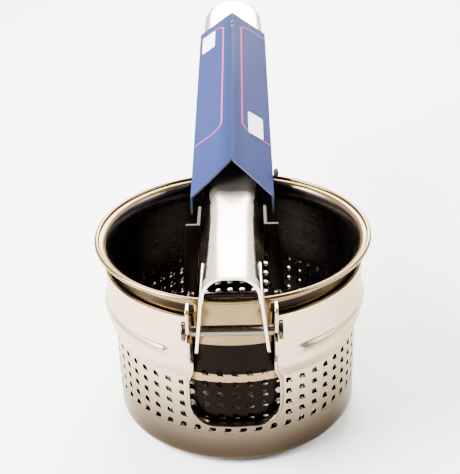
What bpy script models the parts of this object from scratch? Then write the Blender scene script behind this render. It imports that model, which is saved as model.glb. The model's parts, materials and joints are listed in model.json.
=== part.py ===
"""Stainless-steel potato ricer: a perforated cup in an outer drum, squeezed by two long handles.

Run with: blender --background --python part.py
Units are metres, +Z is up. The drum stands on its base at Z = 0 with its axis on the Z axis.
The hinge is at the front (-Y) and both handles run to the back (+Y).
"""

import math

import bmesh
import bpy
from mathutils import Matrix, Vector

MM = 0.001
GAP = 0.3 * MM
RUNNING_FIT = 0.08 * MM
SHEET = 1.0 * MM
SEGMENTS = 60
HELPER_REACH = 20.0 * MM

# Drum: the outer body that holds the cup
DRUM_TOP = 62.0 * MM
DRUM_BAND_RADIUS = 46.9 * MM
DRUM_WALL_RADIUS = 44.9 * MM
DRUM_CREASE = 36.5 * MM
DRUM_TAPER = 4.5 * MM
DRUM_RIB_HEIGHT = 47.0 * MM
DRUM_RIB_DEPTH = 0.5 * MM
DRUM_LIP = 4.0 * MM
DRUM_LOW = 1.1 * MM
BASE_SHEET = 0.8 * MM
CORNER = 3.0 * MM

# Notch in the drum's front, with its turned-out edge
NOTCH_NECK = 13.6 * MM
NOTCH_WIDE = 15.5 * MM
NOTCH_BOTTOM = 18.3 * MM
NOTCH_CORNER = 8.0 * MM
NOTCH_EDGE_OUT = 1.6 * MM

# Cup: the lift-out basket
CUP_SHEET = 0.8 * MM
CUP_BOTTOM = 3.2 * MM
CUP_WALL_RADIUS = 43.2 * MM
CUP_TOP_RADIUS = 44.9 * MM
CUP_FLARE_START = 63.0 * MM
RIM_RADIUS = 50.0 * MM
RIM_HEIGHT = 70.5 * MM
BEAD = 0.9 * MM

# Hinge
PIN_Y = -53.8 * MM
PIN_Z = 62.8 * MM
PIN_RADIUS = 1.75 * MM
PIN_BORE = PIN_RADIUS + RUNNING_FIT
PIN_CAP = 1.4 * MM
EAR_INNER = NOTCH_NECK
EAR_TOP = 72.6 * MM
EAR_REACH = 4.2 * MM
EAR_BACK = -51.6 * MM
EAR_ROOT = -44.3 * MM
EAR_FOOT_Z = 45.0 * MM
EAR_CHAMFER = 1.0 * MM
LUG_TOP_X = 9.3 * MM
LUG_LEAN = 0.11
LUG_REACH = 7.9 * MM
LUG_HALF = 3.6 * MM

# Handles
HANDLE_FRONT = -57.4 * MM
HANDLE_BEND = 15.0 * MM
HANDLE_END = 190.0 * MM
HANDLE_TOP_FRONT = 84.5 * MM
HANDLE_TOP_BEND = 79.5 * MM
HANDLE_RISE = math.radians(8.2)
GRIP_DEPTH = 10.0 * MM
GRIP_GAP = 1.5 * MM
LOWER_START = 49.4 * MM
LOWER_BEND = 44.0 * MM
LOWER_FRONT_Z = 45.0 * MM
# The grip's closed end, shared by both handles: y, and (flat, shoulder, foot, depth) in mm
GRIP_TIP = (
    (165.0 * MM, (9.4, 5.0, 14.6, 10.0)),
    (183.0 * MM, (9.0, 5.0, 14.2, 10.0)),
    (187.5 * MM, (7.6, 4.8, 12.6, 9.6)),
    (HANDLE_END, (6.0, 4.0, 10.6, 8.8)),
)

# Saddle at the drum's back, and its rivets
SADDLE_LOW = 42.5 * MM
SADDLE_HIGH = 60.0 * MM
SADDLE_SWEEP = 24
RIVET_ANGLE = 19.5
RIVET_RADIUS = 2.0 * MM
RIVET_INSET = 4.0 * MM

# Press
PIVOT_Z = 43.0 * MM
PIVOT_RADIUS = 1.75 * MM
PIVOT_BORE = PIVOT_RADIUS + RUNNING_FIT
HANGER_TOP_X = 11.3 * MM
HANGER_LOW_X = 14.2 * MM
HANGER_TOP_Z = 77.0 * MM
YOKE_X = 12.8 * MM
YOKE_SHEET = 1.1 * MM
YOKE_HALF = 6.0 * MM
HANGER_HALF = 7.5 * MM
HANGER_FLANGE = 4.0 * MM
HANGER_FLANGE_LOW = 50.0 * MM
PLATE_RADIUS = 38.0 * MM
PLATE_Z = 15.0 * MM
PLATE_RIM = 3.0 * MM

# Card sleeve
SLEEVE_START = 22.0 * MM
SLEEVE_END = 155.0 * MM
SLEEVE_RIDGE = 9.0 * MM
SLEEVE_SHOULDER = -2.0 * MM
SLEEVE_NOSE = 8.0 * MM
SLEEVE_BOTTOM = -8.6 * MM
SLEEVE_HALF = 15.6 * MM
CARD = 0.6 * MM
LABEL_WIDE = 7.2 * MM
LABEL_LONG = 17.0 * MM
LABEL_LEFT = (-11.2 * MM, 139.0 * MM)
LABEL_RIGHT = (9.6 * MM, 58.0 * MM)
STAPLE_Y = 139.0 * MM
STAPLE_PITCH = 5.0 * MM
TIE_Y = 30.0 * MM
TIE_SIZE = (2.0 * MM, 3.0 * MM, 3.6 * MM)


def clear_scene():
    """Remove what the startup scene holds."""
    for obj in list(bpy.data.objects):
        bpy.data.objects.remove(obj, do_unlink=True)


def make_material(name, color, roughness, metallic):
    """A plain Principled material with one colour."""
    material = bpy.data.materials.new(name)
    material.use_nodes = True
    shader = material.node_tree.nodes["Principled BSDF"]
    shader.inputs["Base Color"].default_value = (*color, 1.0)
    shader.inputs["Roughness"].default_value = roughness
    shader.inputs["Metallic"].default_value = metallic
    return material


def finish_mesh(bm, name, material, helper=False):
    """Turn a bmesh into an object with outward faces and smooth round surfaces."""
    bmesh.ops.remove_doubles(bm, verts=bm.verts, dist=1e-6)
    bmesh.ops.recalc_face_normals(bm, faces=bm.faces)
    mesh = bpy.data.meshes.new(name)
    bm.to_mesh(mesh)
    bm.free()
    mesh.shade_smooth()
    mesh.set_sharp_from_angle(angle=math.radians(35))
    obj = bpy.data.objects.new(name, mesh)
    if material:
        mesh.materials.append(material)
    bpy.context.scene.collection.objects.link(obj)
    if helper:
        obj.hide_render = True
        obj.display_type = "WIRE"
    return obj


def arc(centre, radius, start, end, steps):
    """Points on a circle arc in a plane, from angle start to angle end in degrees."""
    points = []
    for step in range(steps + 1):
        angle = math.radians(start + (end - start) * step / steps)
        points.append((centre[0] + radius * math.cos(angle), centre[1] + radius * math.sin(angle)))
    return points


def revolve(name, outline, material, segments=SEGMENTS, helper=False):
    """Spin a closed (radius, height) outline about the Z axis."""
    bm = bmesh.new()
    verts = [bm.verts.new((radius, 0.0, height)) for radius, height in outline]
    edges = []
    for index, vert in enumerate(verts):
        following = verts[(index + 1) % len(verts)]
        if vert.co.x > 1e-7 or following.co.x > 1e-7:
            edges.append(bm.edges.new((vert, following)))
    bmesh.ops.spin(
        bm, geom=verts + edges, cent=(0, 0, 0), axis=(0, 0, 1), angle=math.tau, steps=segments, use_merge=True
    )
    return finish_mesh(bm, name, material, helper)


def extrude(name, outline, axis, start, end, material, helper=False):
    """Extrude a closed flat outline along axis X or Y. The outline is (y, z) for X and (x, z) for Y."""
    bm = bmesh.new()
    verts = []
    for first, second in outline:
        place = (start, first, second) if axis == "X" else (first, start, second)
        verts.append(bm.verts.new(place))
    face = bm.faces.new(verts)
    moved = bmesh.ops.extrude_face_region(bm, geom=[face])["geom"]
    shift = Vector((end - start, 0, 0)) if axis == "X" else Vector((0, end - start, 0))
    bmesh.ops.translate(bm, verts=[item for item in moved if isinstance(item, bmesh.types.BMVert)], vec=shift)
    return finish_mesh(bm, name, material, helper)


def loft(name, sections, material, helper=False):
    """Bridge closed sections, each a list of (x, y, z) points, and cap both ends."""
    bm = bmesh.new()
    loops = []
    for section in sections:
        verts = [bm.verts.new(point) for point in section]
        loops.append([bm.edges.new((verts[i], verts[(i + 1) % len(verts)])) for i in range(len(verts))])
    for first, second in zip(loops, loops[1:]):
        bmesh.ops.bridge_loops(bm, edges=first + second)
    bmesh.ops.holes_fill(bm, edges=loops[0] + loops[-1], sides=0)
    return finish_mesh(bm, name, material, helper)


def rod(name, radius, start, end, y, z, material, helper=False, sides=24):
    """A round bar along X from start to end."""
    outline = arc((y, z), radius, 0, 360 - 360 / sides, sides - 1)
    return extrude(name, outline, "X", start, end, material, helper)


def boolean(obj, operation, other):
    """Add an exact Boolean modifier."""
    modifier = obj.modifiers.new(f"{operation.title()} {other.name}", "BOOLEAN")
    modifier.operation = operation
    modifier.solver = "EXACT"
    modifier.object = other


def shear_x(obj, slope, level):
    """Lean a part sideways: X grows by slope for each metre below level."""
    for vert in obj.data.vertices:
        vert.co.x += slope * (level - vert.co.z)


def flip_x(obj):
    """Mirror the part's mesh to the other side of the YZ plane."""
    obj.data.transform(Matrix.Scale(-1, 4, (1, 0, 0)))
    obj.data.flip_normals()


def drum_outline(outward):
    """The drum wall's side from top edge to base corner, moved outward by a distance."""
    rib = DRUM_RIB_DEPTH
    points = [
        (DRUM_BAND_RADIUS - 0.3 * MM + outward, DRUM_TOP),
        (DRUM_BAND_RADIUS + outward, DRUM_RIB_HEIGHT + 2.5 * MM),
        (DRUM_BAND_RADIUS + rib + outward, DRUM_RIB_HEIGHT + 1.0 * MM),
        (DRUM_BAND_RADIUS + rib + outward, DRUM_RIB_HEIGHT - 1.0 * MM),
        (DRUM_BAND_RADIUS + outward, DRUM_RIB_HEIGHT - 2.5 * MM),
        (DRUM_BAND_RADIUS - 0.2 * MM + outward, DRUM_CREASE + DRUM_TAPER),
        (DRUM_WALL_RADIUS + outward, DRUM_CREASE),
    ]
    centre = (DRUM_WALL_RADIUS - CORNER, DRUM_LOW + CORNER)
    return points + arc(centre, CORNER + outward, 0, -90, 4)


def notch_outline(grow):
    """The U notch in the (x, z) plane, made wider all round by a distance."""
    neck = NOTCH_NECK + grow
    wide = NOTCH_WIDE + grow
    low = NOTCH_BOTTOM - grow
    corner = NOTCH_CORNER + grow
    top = DRUM_TOP + 5 * MM
    right = [(neck, top), (neck, DRUM_CREASE + DRUM_TAPER), (wide, DRUM_CREASE - 1.5 * MM)]
    right += arc((wide - corner, low + corner), corner, 0, -90, 6)
    left = [(-x, z) for x, z in reversed(right)]
    return right + left


def ear_outline():
    """One hinge ear in the (y, z) plane, with its pin slot open to the front."""
    front = PIN_Y - EAR_REACH
    slot = [(front, PIN_Z + PIN_BORE)]
    slot += arc((PIN_Y, PIN_Z), PIN_BORE, 90, -90, 8)
    slot += [(front, PIN_Z - PIN_BORE)]
    back = [
        (EAR_ROOT, EAR_FOOT_Z),
        (EAR_ROOT, DRUM_TOP - 0.6 * MM),
        (EAR_ROOT - 2.2 * MM, DRUM_TOP - 0.2 * MM),
        (EAR_BACK, DRUM_TOP + 3.0 * MM),
        (EAR_BACK, EAR_TOP - EAR_CHAMFER),
        (EAR_BACK - EAR_CHAMFER, EAR_TOP),
        (front + EAR_CHAMFER, EAR_TOP),
        (front, EAR_TOP - EAR_CHAMFER),
    ]
    strip = [(front, PIN_Z - 6.0 * MM), (EAR_ROOT - 3.2 * MM, EAR_FOOT_Z + 2.0 * MM)]
    return back + slot + strip


def notch_edge_limit():
    """The ring, from the wall's inner face to the edge's outer reach, that the notch's edge is cut to."""
    wall = len(drum_outline(0.0)) - 5
    foot = 10 * MM
    outer = [(radius + NOTCH_EDGE_OUT, height) for radius, height in drum_outline(0.0)[:wall]]
    inner = [(radius - SHEET, height) for radius, height in drum_outline(0.0)[:wall]]
    ring = outer + [(outer[-1][0], foot), (inner[-1][0], foot)] + list(reversed(inner))
    return revolve("notch_edge_limit", ring, None, helper=True)


def build_drum(steel):
    """The outer drum: a thin turned shell with a front notch, its turned-out edge and two hinge ears."""
    outside = drum_outline(0.0)
    inside = drum_outline(-SHEET)
    hole = DRUM_WALL_RADIUS - CORNER - DRUM_LIP
    shell = outside + [(hole, DRUM_LOW), (hole, DRUM_LOW + SHEET)] + list(reversed(inside))
    drum = revolve("drum_frame", shell, steel)

    cutter = extrude("notch_cutter", notch_outline(0.5 * SHEET), "Y", -60 * MM, -30 * MM, None, helper=True)
    boolean(drum, "DIFFERENCE", cutter)

    top = DRUM_TOP - 1.0 * MM
    band = notch_outline(SHEET) + list(reversed(notch_outline(0.0)))
    trim = [(x, min(z, top)) for x, z in band]
    edge = extrude("notch_edge", trim, "Y", -55 * MM, -35 * MM, None, helper=True)
    boolean(edge, "INTERSECT", notch_edge_limit())
    boolean(drum, "UNION", edge)

    for side, name in ((1, "right"), (-1, "left")):
        ear = extrude(f"ear_{name}", ear_outline(), "X", EAR_INNER, EAR_INNER + SHEET, None, helper=True)
        if side < 0:
            flip_x(ear)
        boolean(drum, "UNION", ear)
    return drum


def build_drum_base(steel):
    """The flat disc under the drum's inward lip, on which the ricer stands."""
    radius = DRUM_WALL_RADIUS - CORNER - GAP
    chamfer = 0.2 * MM
    outline = [(0, 0), (radius - chamfer, 0), (radius, chamfer), (radius, BASE_SHEET), (0, BASE_SHEET)]
    return revolve("drum_base", outline, steel)


def cup_side(inset):
    """The cup's outer side from under the rim bead down to the base corner, moved inward by a distance."""
    flare = RIM_RADIUS - 2 * BEAD - CUP_TOP_RADIUS
    rise = RIM_HEIGHT - BEAD - CUP_FLARE_START
    points = []
    for step in range(5):
        angle = math.radians(90 - 22.5 * step)
        radius = CUP_TOP_RADIUS + flare * (1 - math.cos(angle))
        height = CUP_FLARE_START + rise * math.sin(angle)
        points.append((radius - inset * math.cos(angle), height + inset * math.sin(angle)))
    points.append((CUP_WALL_RADIUS - inset, DRUM_CREASE))
    points += arc((CUP_WALL_RADIUS - CORNER, CUP_BOTTOM + CORNER), CORNER - inset, 0, -90, 4)
    return points


def build_cup(steel):
    """The lift-out cup: tapered wall, flared rim with a rolled bead, flat bottom."""
    outside = cup_side(0.0)
    inside = cup_side(CUP_SHEET)
    centre = (RIM_RADIUS - BEAD, RIM_HEIGHT)
    bead = arc(centre, BEAD, -100, 130, 8)
    bottom = [(0, CUP_BOTTOM), (0, CUP_BOTTOM + CUP_SHEET)]
    outline = outside + bottom + list(reversed(inside)) + list(reversed(bead))
    return revolve("cup_basket", outline, steel)


def build_hinge_pin(steel):
    """The hinge pin across the ears, with a cap at each end."""
    inner = EAR_INNER + SHEET + GAP
    outer = inner + PIN_CAP
    half = outer - 0.3 * MM
    rod("hinge_pin", PIN_RADIUS, -half, half, PIN_Y, PIN_Z, steel)
    for side, name in ((-1, "left"), (1, "right")):
        size = PIN_RADIUS + PIN_CAP
        cap = rod(f"hinge_pin_cap_{name}", size, side * inner, side * outer, PIN_Y, PIN_Z, steel)
        bore = rod(f"cap_bore_{name}", PIN_BORE, 0, side * HELPER_REACH, PIN_Y, PIN_Z, None, helper=True)
        boolean(cap, "DIFFERENCE", bore)


def handle_top(y):
    """Height of the upper handle's outer top surface at a distance y along the object."""
    if y < HANDLE_BEND:
        share = (y - HANDLE_FRONT) / (HANDLE_BEND - HANDLE_FRONT)
        return HANDLE_TOP_FRONT + (HANDLE_TOP_BEND - HANDLE_TOP_FRONT) * share
    return HANDLE_TOP_BEND + (y - HANDLE_BEND) * math.tan(HANDLE_RISE)


def channel_section(y, top, shape, upside_down=False):
    """A channel's closed section: flat top half-width, shoulder radius, foot half-width and depth, in mm."""
    flat, shoulder, foot, depth = (size * MM for size in shape)
    outer = arc((flat, -shoulder), shoulder, 90, 0, 3) + [(foot, -depth)]
    inner = arc((flat, -shoulder), shoulder - SHEET, 90, 0, 3) + [(foot - SHEET, -depth)]
    outline = [(-x, z) for x, z in reversed(outer)] + outer
    outline += list(reversed(inner)) + [(-x, z) for x, z in inner]
    sign = -1 if upside_down else 1
    return [(x, y, top + sign * z) for x, z in outline]


def build_upper_handle(steel):
    """The upper handle: a bent channel, arched over the cup's rim, with two lugs on the hinge pin."""
    stations = (
        (HANDLE_FRONT, (1.8, 7.8, 9.9, 9.5)),
        (-50.0 * MM, (2.8, 7.0, 10.2, 9.2)),
        (-40.0 * MM, (4.6, 5.6, 10.7, 8.4)),
        (-24.0 * MM, (6.2, 4.2, 11.0, 8.0)),
        (-10.0 * MM, (6.4, 4.0, 11.0, 8.0)),
        (5.0 * MM, (7.0, 4.0, 11.2, 8.0)),
        (HANDLE_BEND, (7.0, 4.2, 11.4, 8.3)),
        (35.0 * MM, (7.6, 4.6, 12.2, 8.8)),
        (60.0 * MM, (9.2, 5.0, 14.2, 10.0)),
        (110.0 * MM, (9.4, 5.0, 14.6, 10.0)),
        *GRIP_TIP,
    )
    sections = [channel_section(y, handle_top(y), shape) for y, shape in stations]
    handle = loft("upper_handle", sections, steel)

    lug_top = HANDLE_TOP_FRONT - 7.0 * MM
    end = arc((PIN_Y, PIN_Z - LUG_REACH + LUG_HALF), LUG_HALF, 0, -180, 8)
    outline = [(PIN_Y - LUG_HALF, lug_top), (PIN_Y + LUG_HALF, lug_top)] + end
    bore = rod("lug_bore", PIN_BORE, -HELPER_REACH, HELPER_REACH, PIN_Y, PIN_Z, None, helper=True)
    inner = LUG_TOP_X - 0.5 * SHEET
    for side, name in ((1, "right"), (-1, "left")):
        lug = extrude(f"lug_{name}", outline, "X", inner, inner + SHEET, None, helper=True)
        shear_x(lug, LUG_LEAN, lug_top)
        if side < 0:
            flip_x(lug)
        boolean(handle, "UNION", lug)
    boolean(handle, "DIFFERENCE", bore)
    return handle


def lower_handle_bottom(y):
    """Height of the lower handle's outer underside at a distance y."""
    grip = handle_top(y) - GRIP_DEPTH - GRIP_GAP - GRIP_DEPTH
    blend = min(max((y - LOWER_START) / LOWER_BEND, 0.0), 1.0)
    ease = blend * blend * (3 - 2 * blend)
    return grip * ease + LOWER_FRONT_Z * (1 - ease)


def build_lower_handle(steel):
    """The lower handle: a channel open at the top, which closes the grip with the upper one."""
    stations = (
        (LOWER_START, (6.4, 4.0, 12.6, 13.0)),
        (56.0 * MM, (6.8, 4.0, 12.8, 12.6)),
        (63.0 * MM, (7.4, 4.4, 13.2, 12.0)),
        (71.0 * MM, (8.2, 4.8, 13.8, 11.2)),
        (82.0 * MM, (9.0, 5.0, 14.4, 10.4)),
        (94.0 * MM, (9.4, 5.0, 14.6, 10.0)),
        (125.0 * MM, (9.4, 5.0, 14.6, 10.0)),
        *GRIP_TIP,
    )
    sections = [channel_section(y, lower_handle_bottom(y), shape, upside_down=True) for y, shape in stations]
    return loft("lower_handle", sections, steel)


def build_saddle(steel):
    """The curved plate that joins the lower handle to the drum's back, and its four rivets."""
    inner = DRUM_BAND_RADIUS + DRUM_RIB_DEPTH + GAP
    outer = inner + SHEET
    sections = []
    steps = 8
    for step in range(steps + 1):
        angle = math.radians(90 + SADDLE_SWEEP * (2 * step / steps - 1))
        x, y = math.cos(angle), math.sin(angle)
        corners = ((inner, SADDLE_LOW), (outer, SADDLE_LOW), (outer, SADDLE_HIGH), (inner, SADDLE_HIGH))
        sections.append([(x * radius, y * radius, z) for radius, z in corners])
    loft("handle_saddle", sections, steel)
    number = 0
    for angle_deg in (-RIVET_ANGLE, RIVET_ANGLE):
        for height in (SADDLE_LOW + RIVET_INSET, SADDLE_HIGH - RIVET_INSET):
            number += 1
            build_saddle_rivet(number, angle_deg, outer, height, steel)


def build_saddle_rivet(number, angle_deg, radius, height, steel):
    """One domed rivet head on the saddle."""
    head = bmesh.new()
    bmesh.ops.create_uvsphere(head, u_segments=12, v_segments=8, radius=RIVET_RADIUS)
    everything = head.verts[:] + head.edges[:] + head.faces[:]
    sliced = bmesh.ops.bisect_plane(
        head, geom=everything, plane_co=(0, 0, GAP + 0.1 * MM), plane_no=(0, 0, 1), clear_inner=True
    )
    cut = [item for item in sliced["geom_cut"] if isinstance(item, bmesh.types.BMEdge)]
    bmesh.ops.holes_fill(head, edges=cut, sides=0)
    place = Matrix.Rotation(math.radians(angle_deg), 4, "Z") @ Matrix.Translation((0, radius, height))
    turn = Matrix.Rotation(math.radians(-90), 4, "X")
    bmesh.ops.transform(head, matrix=place @ turn, verts=head.verts)
    finish_mesh(head, f"saddle_rivet_{number}", steel)


def build_hangers(steel):
    """Two flanged plates that hang from the upper handle's walls, with the press pivot pin between them."""
    for side, name in ((1, "right"), (-1, "left")):
        build_hanger(side, name, steel)
        build_washer(side, name, steel)
    half = HANGER_LOW_X + YOKE_SHEET + 2.4 * MM
    rod("press_pivot_pin", PIVOT_RADIUS, -half, half, 0, PIVOT_Z, steel)


def build_hanger(side, name, steel):
    """One hanger: a leaning plate with a bore for the pivot and a flange turned out along its front edge."""
    end = arc((0, PIVOT_Z), YOKE_HALF - 0.5 * MM, 0, -180, 8)
    outline = [(-HANGER_HALF, HANGER_TOP_Z), (HANGER_HALF, HANGER_TOP_Z)] + end
    outer = HANGER_TOP_X + YOKE_SHEET
    plate = extrude(f"press_hanger_{name}", outline, "X", HANGER_TOP_X, outer, steel)

    back = YOKE_SHEET - HANGER_HALF
    strip = [(-HANGER_HALF, HANGER_TOP_Z), (back, HANGER_TOP_Z), (back, HANGER_FLANGE_LOW)]
    strip += [(-HANGER_HALF, HANGER_FLANGE_LOW)]
    root = outer - 0.5 * YOKE_SHEET
    flange = extrude(f"flange_{name}", strip, "X", root, outer + HANGER_FLANGE, None, helper=True)

    for piece in (plate, flange):
        shear_x(piece, (HANGER_LOW_X - HANGER_TOP_X) / (HANGER_TOP_Z - PIVOT_Z), HANGER_TOP_Z)
        if side < 0:
            flip_x(piece)
    boolean(plate, "UNION", flange)
    bore = rod(f"hanger_bore_{name}", PIVOT_BORE, 0, side * HELPER_REACH, 0, PIVOT_Z, None, helper=True)
    boolean(plate, "DIFFERENCE", bore)


def build_washer(side, name, steel):
    """One washer on the press pivot pin, outside its hanger."""
    inner = HANGER_LOW_X + YOKE_SHEET + 1.0 * MM
    outer = inner + SHEET
    size = PIVOT_RADIUS + 1.6 * MM
    washer = rod(f"pivot_washer_{name}", size, side * inner, side * outer, 0, PIVOT_Z, steel)
    bore = rod(f"washer_bore_{name}", PIVOT_BORE, 0, side * HELPER_REACH, 0, PIVOT_Z, None, helper=True)
    boolean(washer, "DIFFERENCE", bore)


def build_press_plate(steel):
    """The round press plate with its upturned rim."""
    bend = 1.6 * MM
    centre = (PLATE_RADIUS - bend, PLATE_Z + bend)
    rim_top = PLATE_Z + PLATE_RIM
    outline = [(0, PLATE_Z)] + arc(centre, bend, -90, 0, 3)
    outline += [(PLATE_RADIUS, rim_top), (PLATE_RADIUS - SHEET, rim_top)]
    outline += arc(centre, bend - SHEET, 0, -90, 2)
    outline += [(0, PLATE_Z + SHEET)]
    revolve("press_plate", outline, steel)


def build_press_yoke(steel):
    """The U strap that carries the press plate and turns on the pivot pin, and its two rivets."""
    base = PLATE_Z + SHEET + GAP
    top = PIVOT_Z + YOKE_HALF - 0.5 * MM
    bend = 2.4 * MM
    centre = (YOKE_X - bend, base + bend)
    outside = [(YOKE_X, top)] + arc(centre, bend, 0, -90, 4)
    inside = [(YOKE_X - YOKE_SHEET, top)] + arc(centre, bend - YOKE_SHEET, 0, -90, 4)
    strap = outside + [(-x, z) for x, z in reversed(outside)]
    strap += [(-x, z) for x, z in inside] + list(reversed(inside))
    yoke = extrude("press_yoke", strap, "Y", -YOKE_HALF, YOKE_HALF, steel)

    foot = base - 2 * MM
    profile = [(-YOKE_HALF, foot), (YOKE_HALF, foot)] + arc((0, PIVOT_Z), YOKE_HALF - 0.5 * MM, 0, 180, 10)
    ends = extrude("yoke_profile", profile, "X", -HELPER_REACH, HELPER_REACH, None, helper=True)
    boolean(yoke, "INTERSECT", ends)
    bore = rod("yoke_bore", PIVOT_BORE, -HELPER_REACH, HELPER_REACH, 0, PIVOT_Z, None, helper=True)
    boolean(yoke, "DIFFERENCE", bore)

    height = 1.0 * MM
    middle = base + YOKE_SHEET + GAP + 0.1 * MM + height / 2
    for x, name in ((-YOKE_HALF, "left"), (YOKE_HALF, "right")):
        head = bmesh.new()
        bmesh.ops.create_cone(
            head, cap_ends=True, segments=16, radius1=2.2 * MM, radius2=1.3 * MM, depth=height,
            matrix=Matrix.Translation((x, 0, middle)),
        )
        finish_mesh(head, f"yoke_rivet_{name}", steel)


def card_base(y):
    """Height of the grip's straight top line at a distance y, which the card lies along."""
    return HANDLE_TOP_BEND + (y - HANDLE_BEND) * math.tan(HANDLE_RISE)


def sleeve_section(y, nose):
    """The card's folded section at y, one card thick, its sides set forward of its ridge by a nose."""
    slope = (SLEEVE_RIDGE - SLEEVE_SHOULDER) / SLEEVE_HALF
    drop = CARD * math.sqrt(1 + slope * slope)
    edge = SLEEVE_HALF - CARD
    right = [(0, SLEEVE_RIDGE), (SLEEVE_HALF, SLEEVE_SHOULDER), (SLEEVE_HALF, SLEEVE_BOTTOM)]
    inner = [(edge, SLEEVE_BOTTOM), (edge, SLEEVE_RIDGE - drop - slope * edge), (0, SLEEVE_RIDGE - drop)]
    left_inner = [(-x, z) for x, z in reversed(inner[:2])]
    left = [(-x, z) for x, z in reversed(right[1:])]
    points = []
    for x, z in right + inner + left_inner + left:
        place = y - nose if x else y
        points.append((x, place, card_base(place) + z))
    return points


def build_sleeve(card, paper, steel):
    """The printed card folded over the upper handle, with two blank labels, two studs and a tie."""
    loft("card_sleeve", [sleeve_section(SLEEVE_START, SLEEVE_NOSE), sleeve_section(SLEEVE_END, 0.0)], card)
    build_label("label_left", LABEL_LEFT, paper)
    build_label("label_right", LABEL_RIGHT, paper)
    for y, name in ((STAPLE_Y, "near"), (STAPLE_Y + STAPLE_PITCH, "far")):
        top = card_base(y) + SLEEVE_RIDGE + GAP + 0.1 * MM
        build_block(f"sleeve_stud_{name}", (1.2 * MM, 1.2 * MM, 0.3 * MM), (0, y, top), 0.0, steel)
    out = SLEEVE_HALF + GAP + TIE_SIZE[0] / 2
    build_block("sleeve_tie", TIE_SIZE, (out, TIE_Y, card_base(TIE_Y) + SLEEVE_SHOULDER), 0.0, card)


def build_block(name, size, centre, roll, material):
    """A small block that lies along the grip, rolled about its long direction."""
    block = bmesh.new()
    bmesh.ops.create_cube(block, size=1.0, matrix=Matrix.Diagonal((*size, 1.0)))
    turn = Matrix.Rotation(HANDLE_RISE, 4, "X") @ Matrix.Rotation(roll, 4, "Y")
    bmesh.ops.transform(block, matrix=Matrix.Translation(centre) @ turn, verts=block.verts)
    finish_mesh(block, name, material)


def build_label(name, place, paper):
    """A blank label on one slope of the card, its place given as (x, y)."""
    x, y = place
    slope = math.atan2(SLEEVE_RIDGE - SLEEVE_SHOULDER, SLEEVE_HALF)
    lift = (GAP + 0.1 * MM) / math.cos(slope)
    z = card_base(y) + SLEEVE_RIDGE - abs(x) * math.tan(slope) + lift
    build_block(name, (LABEL_WIDE, LABEL_LONG, 0.2 * MM), (x, y, z), math.copysign(slope, x), paper)


def main():
    """Build every sub-part in place."""
    clear_scene()
    brushed = make_material("brushed_stainless", (0.66, 0.61, 0.53), 0.28, 1.0)
    polished = make_material("polished_stainless", (0.78, 0.75, 0.70), 0.16, 1.0)
    card = make_material("printed_card", (0.10, 0.13, 0.30), 0.45, 0.0)
    paper = make_material("white_paper", (0.85, 0.86, 0.90), 0.6, 0.0)
    build_drum(brushed)
    build_drum_base(brushed)
    build_cup(brushed)
    build_hinge_pin(polished)
    build_upper_handle(polished)
    build_lower_handle(polished)
    build_saddle(brushed)
    build_hangers(brushed)
    build_press_plate(brushed)
    build_press_yoke(brushed)
    build_sleeve(card, paper, polished)


main()
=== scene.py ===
"""Looks of a stainless-steel potato ricer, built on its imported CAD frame.

The drum stands on Z = 0 with its axis on the Z axis. The hinge is at the front (-Y) and both handles run to
the back (+Y). Fields of the classes hold sizes in millimetres, and MM turns them into the scene's metres.
ROUND is the number of segments round the drum and the cup.
"""

import json
import logging
import math
from collections.abc import Callable, Sequence
from dataclasses import dataclass, field
from enum import Enum

import bmesh
import bpy
from mathutils import Matrix, Vector

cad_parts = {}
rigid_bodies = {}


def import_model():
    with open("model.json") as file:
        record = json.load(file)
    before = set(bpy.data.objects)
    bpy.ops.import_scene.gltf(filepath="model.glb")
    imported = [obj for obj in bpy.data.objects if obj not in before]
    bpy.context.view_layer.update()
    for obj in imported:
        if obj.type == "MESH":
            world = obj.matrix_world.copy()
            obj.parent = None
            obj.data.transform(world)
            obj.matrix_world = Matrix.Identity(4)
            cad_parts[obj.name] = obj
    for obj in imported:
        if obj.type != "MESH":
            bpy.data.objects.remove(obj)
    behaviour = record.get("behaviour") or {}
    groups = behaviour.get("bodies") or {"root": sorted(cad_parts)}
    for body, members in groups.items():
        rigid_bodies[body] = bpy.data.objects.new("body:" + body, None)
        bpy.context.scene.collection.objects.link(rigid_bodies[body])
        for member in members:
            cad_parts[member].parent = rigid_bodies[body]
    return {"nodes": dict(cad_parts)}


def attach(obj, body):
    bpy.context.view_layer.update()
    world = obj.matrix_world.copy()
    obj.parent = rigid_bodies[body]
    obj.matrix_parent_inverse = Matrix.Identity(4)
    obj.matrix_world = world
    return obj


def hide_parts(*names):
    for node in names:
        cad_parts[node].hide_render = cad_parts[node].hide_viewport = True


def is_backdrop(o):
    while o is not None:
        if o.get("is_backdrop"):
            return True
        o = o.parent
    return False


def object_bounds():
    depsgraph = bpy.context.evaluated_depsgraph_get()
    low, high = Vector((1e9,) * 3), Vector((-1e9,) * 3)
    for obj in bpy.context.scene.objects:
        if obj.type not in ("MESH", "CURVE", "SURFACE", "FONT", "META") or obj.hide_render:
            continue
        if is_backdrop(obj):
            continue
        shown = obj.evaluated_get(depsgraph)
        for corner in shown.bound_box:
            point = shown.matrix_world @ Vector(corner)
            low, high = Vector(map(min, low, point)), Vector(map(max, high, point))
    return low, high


LOG = logging.getLogger("potato_ricer")
MM = 0.001
ROUND = 156

Point = tuple[float, float]
Outline = list[Point]


def clear_startup() -> None:
    """Remove the objects that the startup scene holds."""
    for obj in list(bpy.data.objects):
        bpy.data.objects.remove(obj, do_unlink=True)


clear_startup()
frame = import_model()


# ---------------------------------------------------------------- materials


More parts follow.
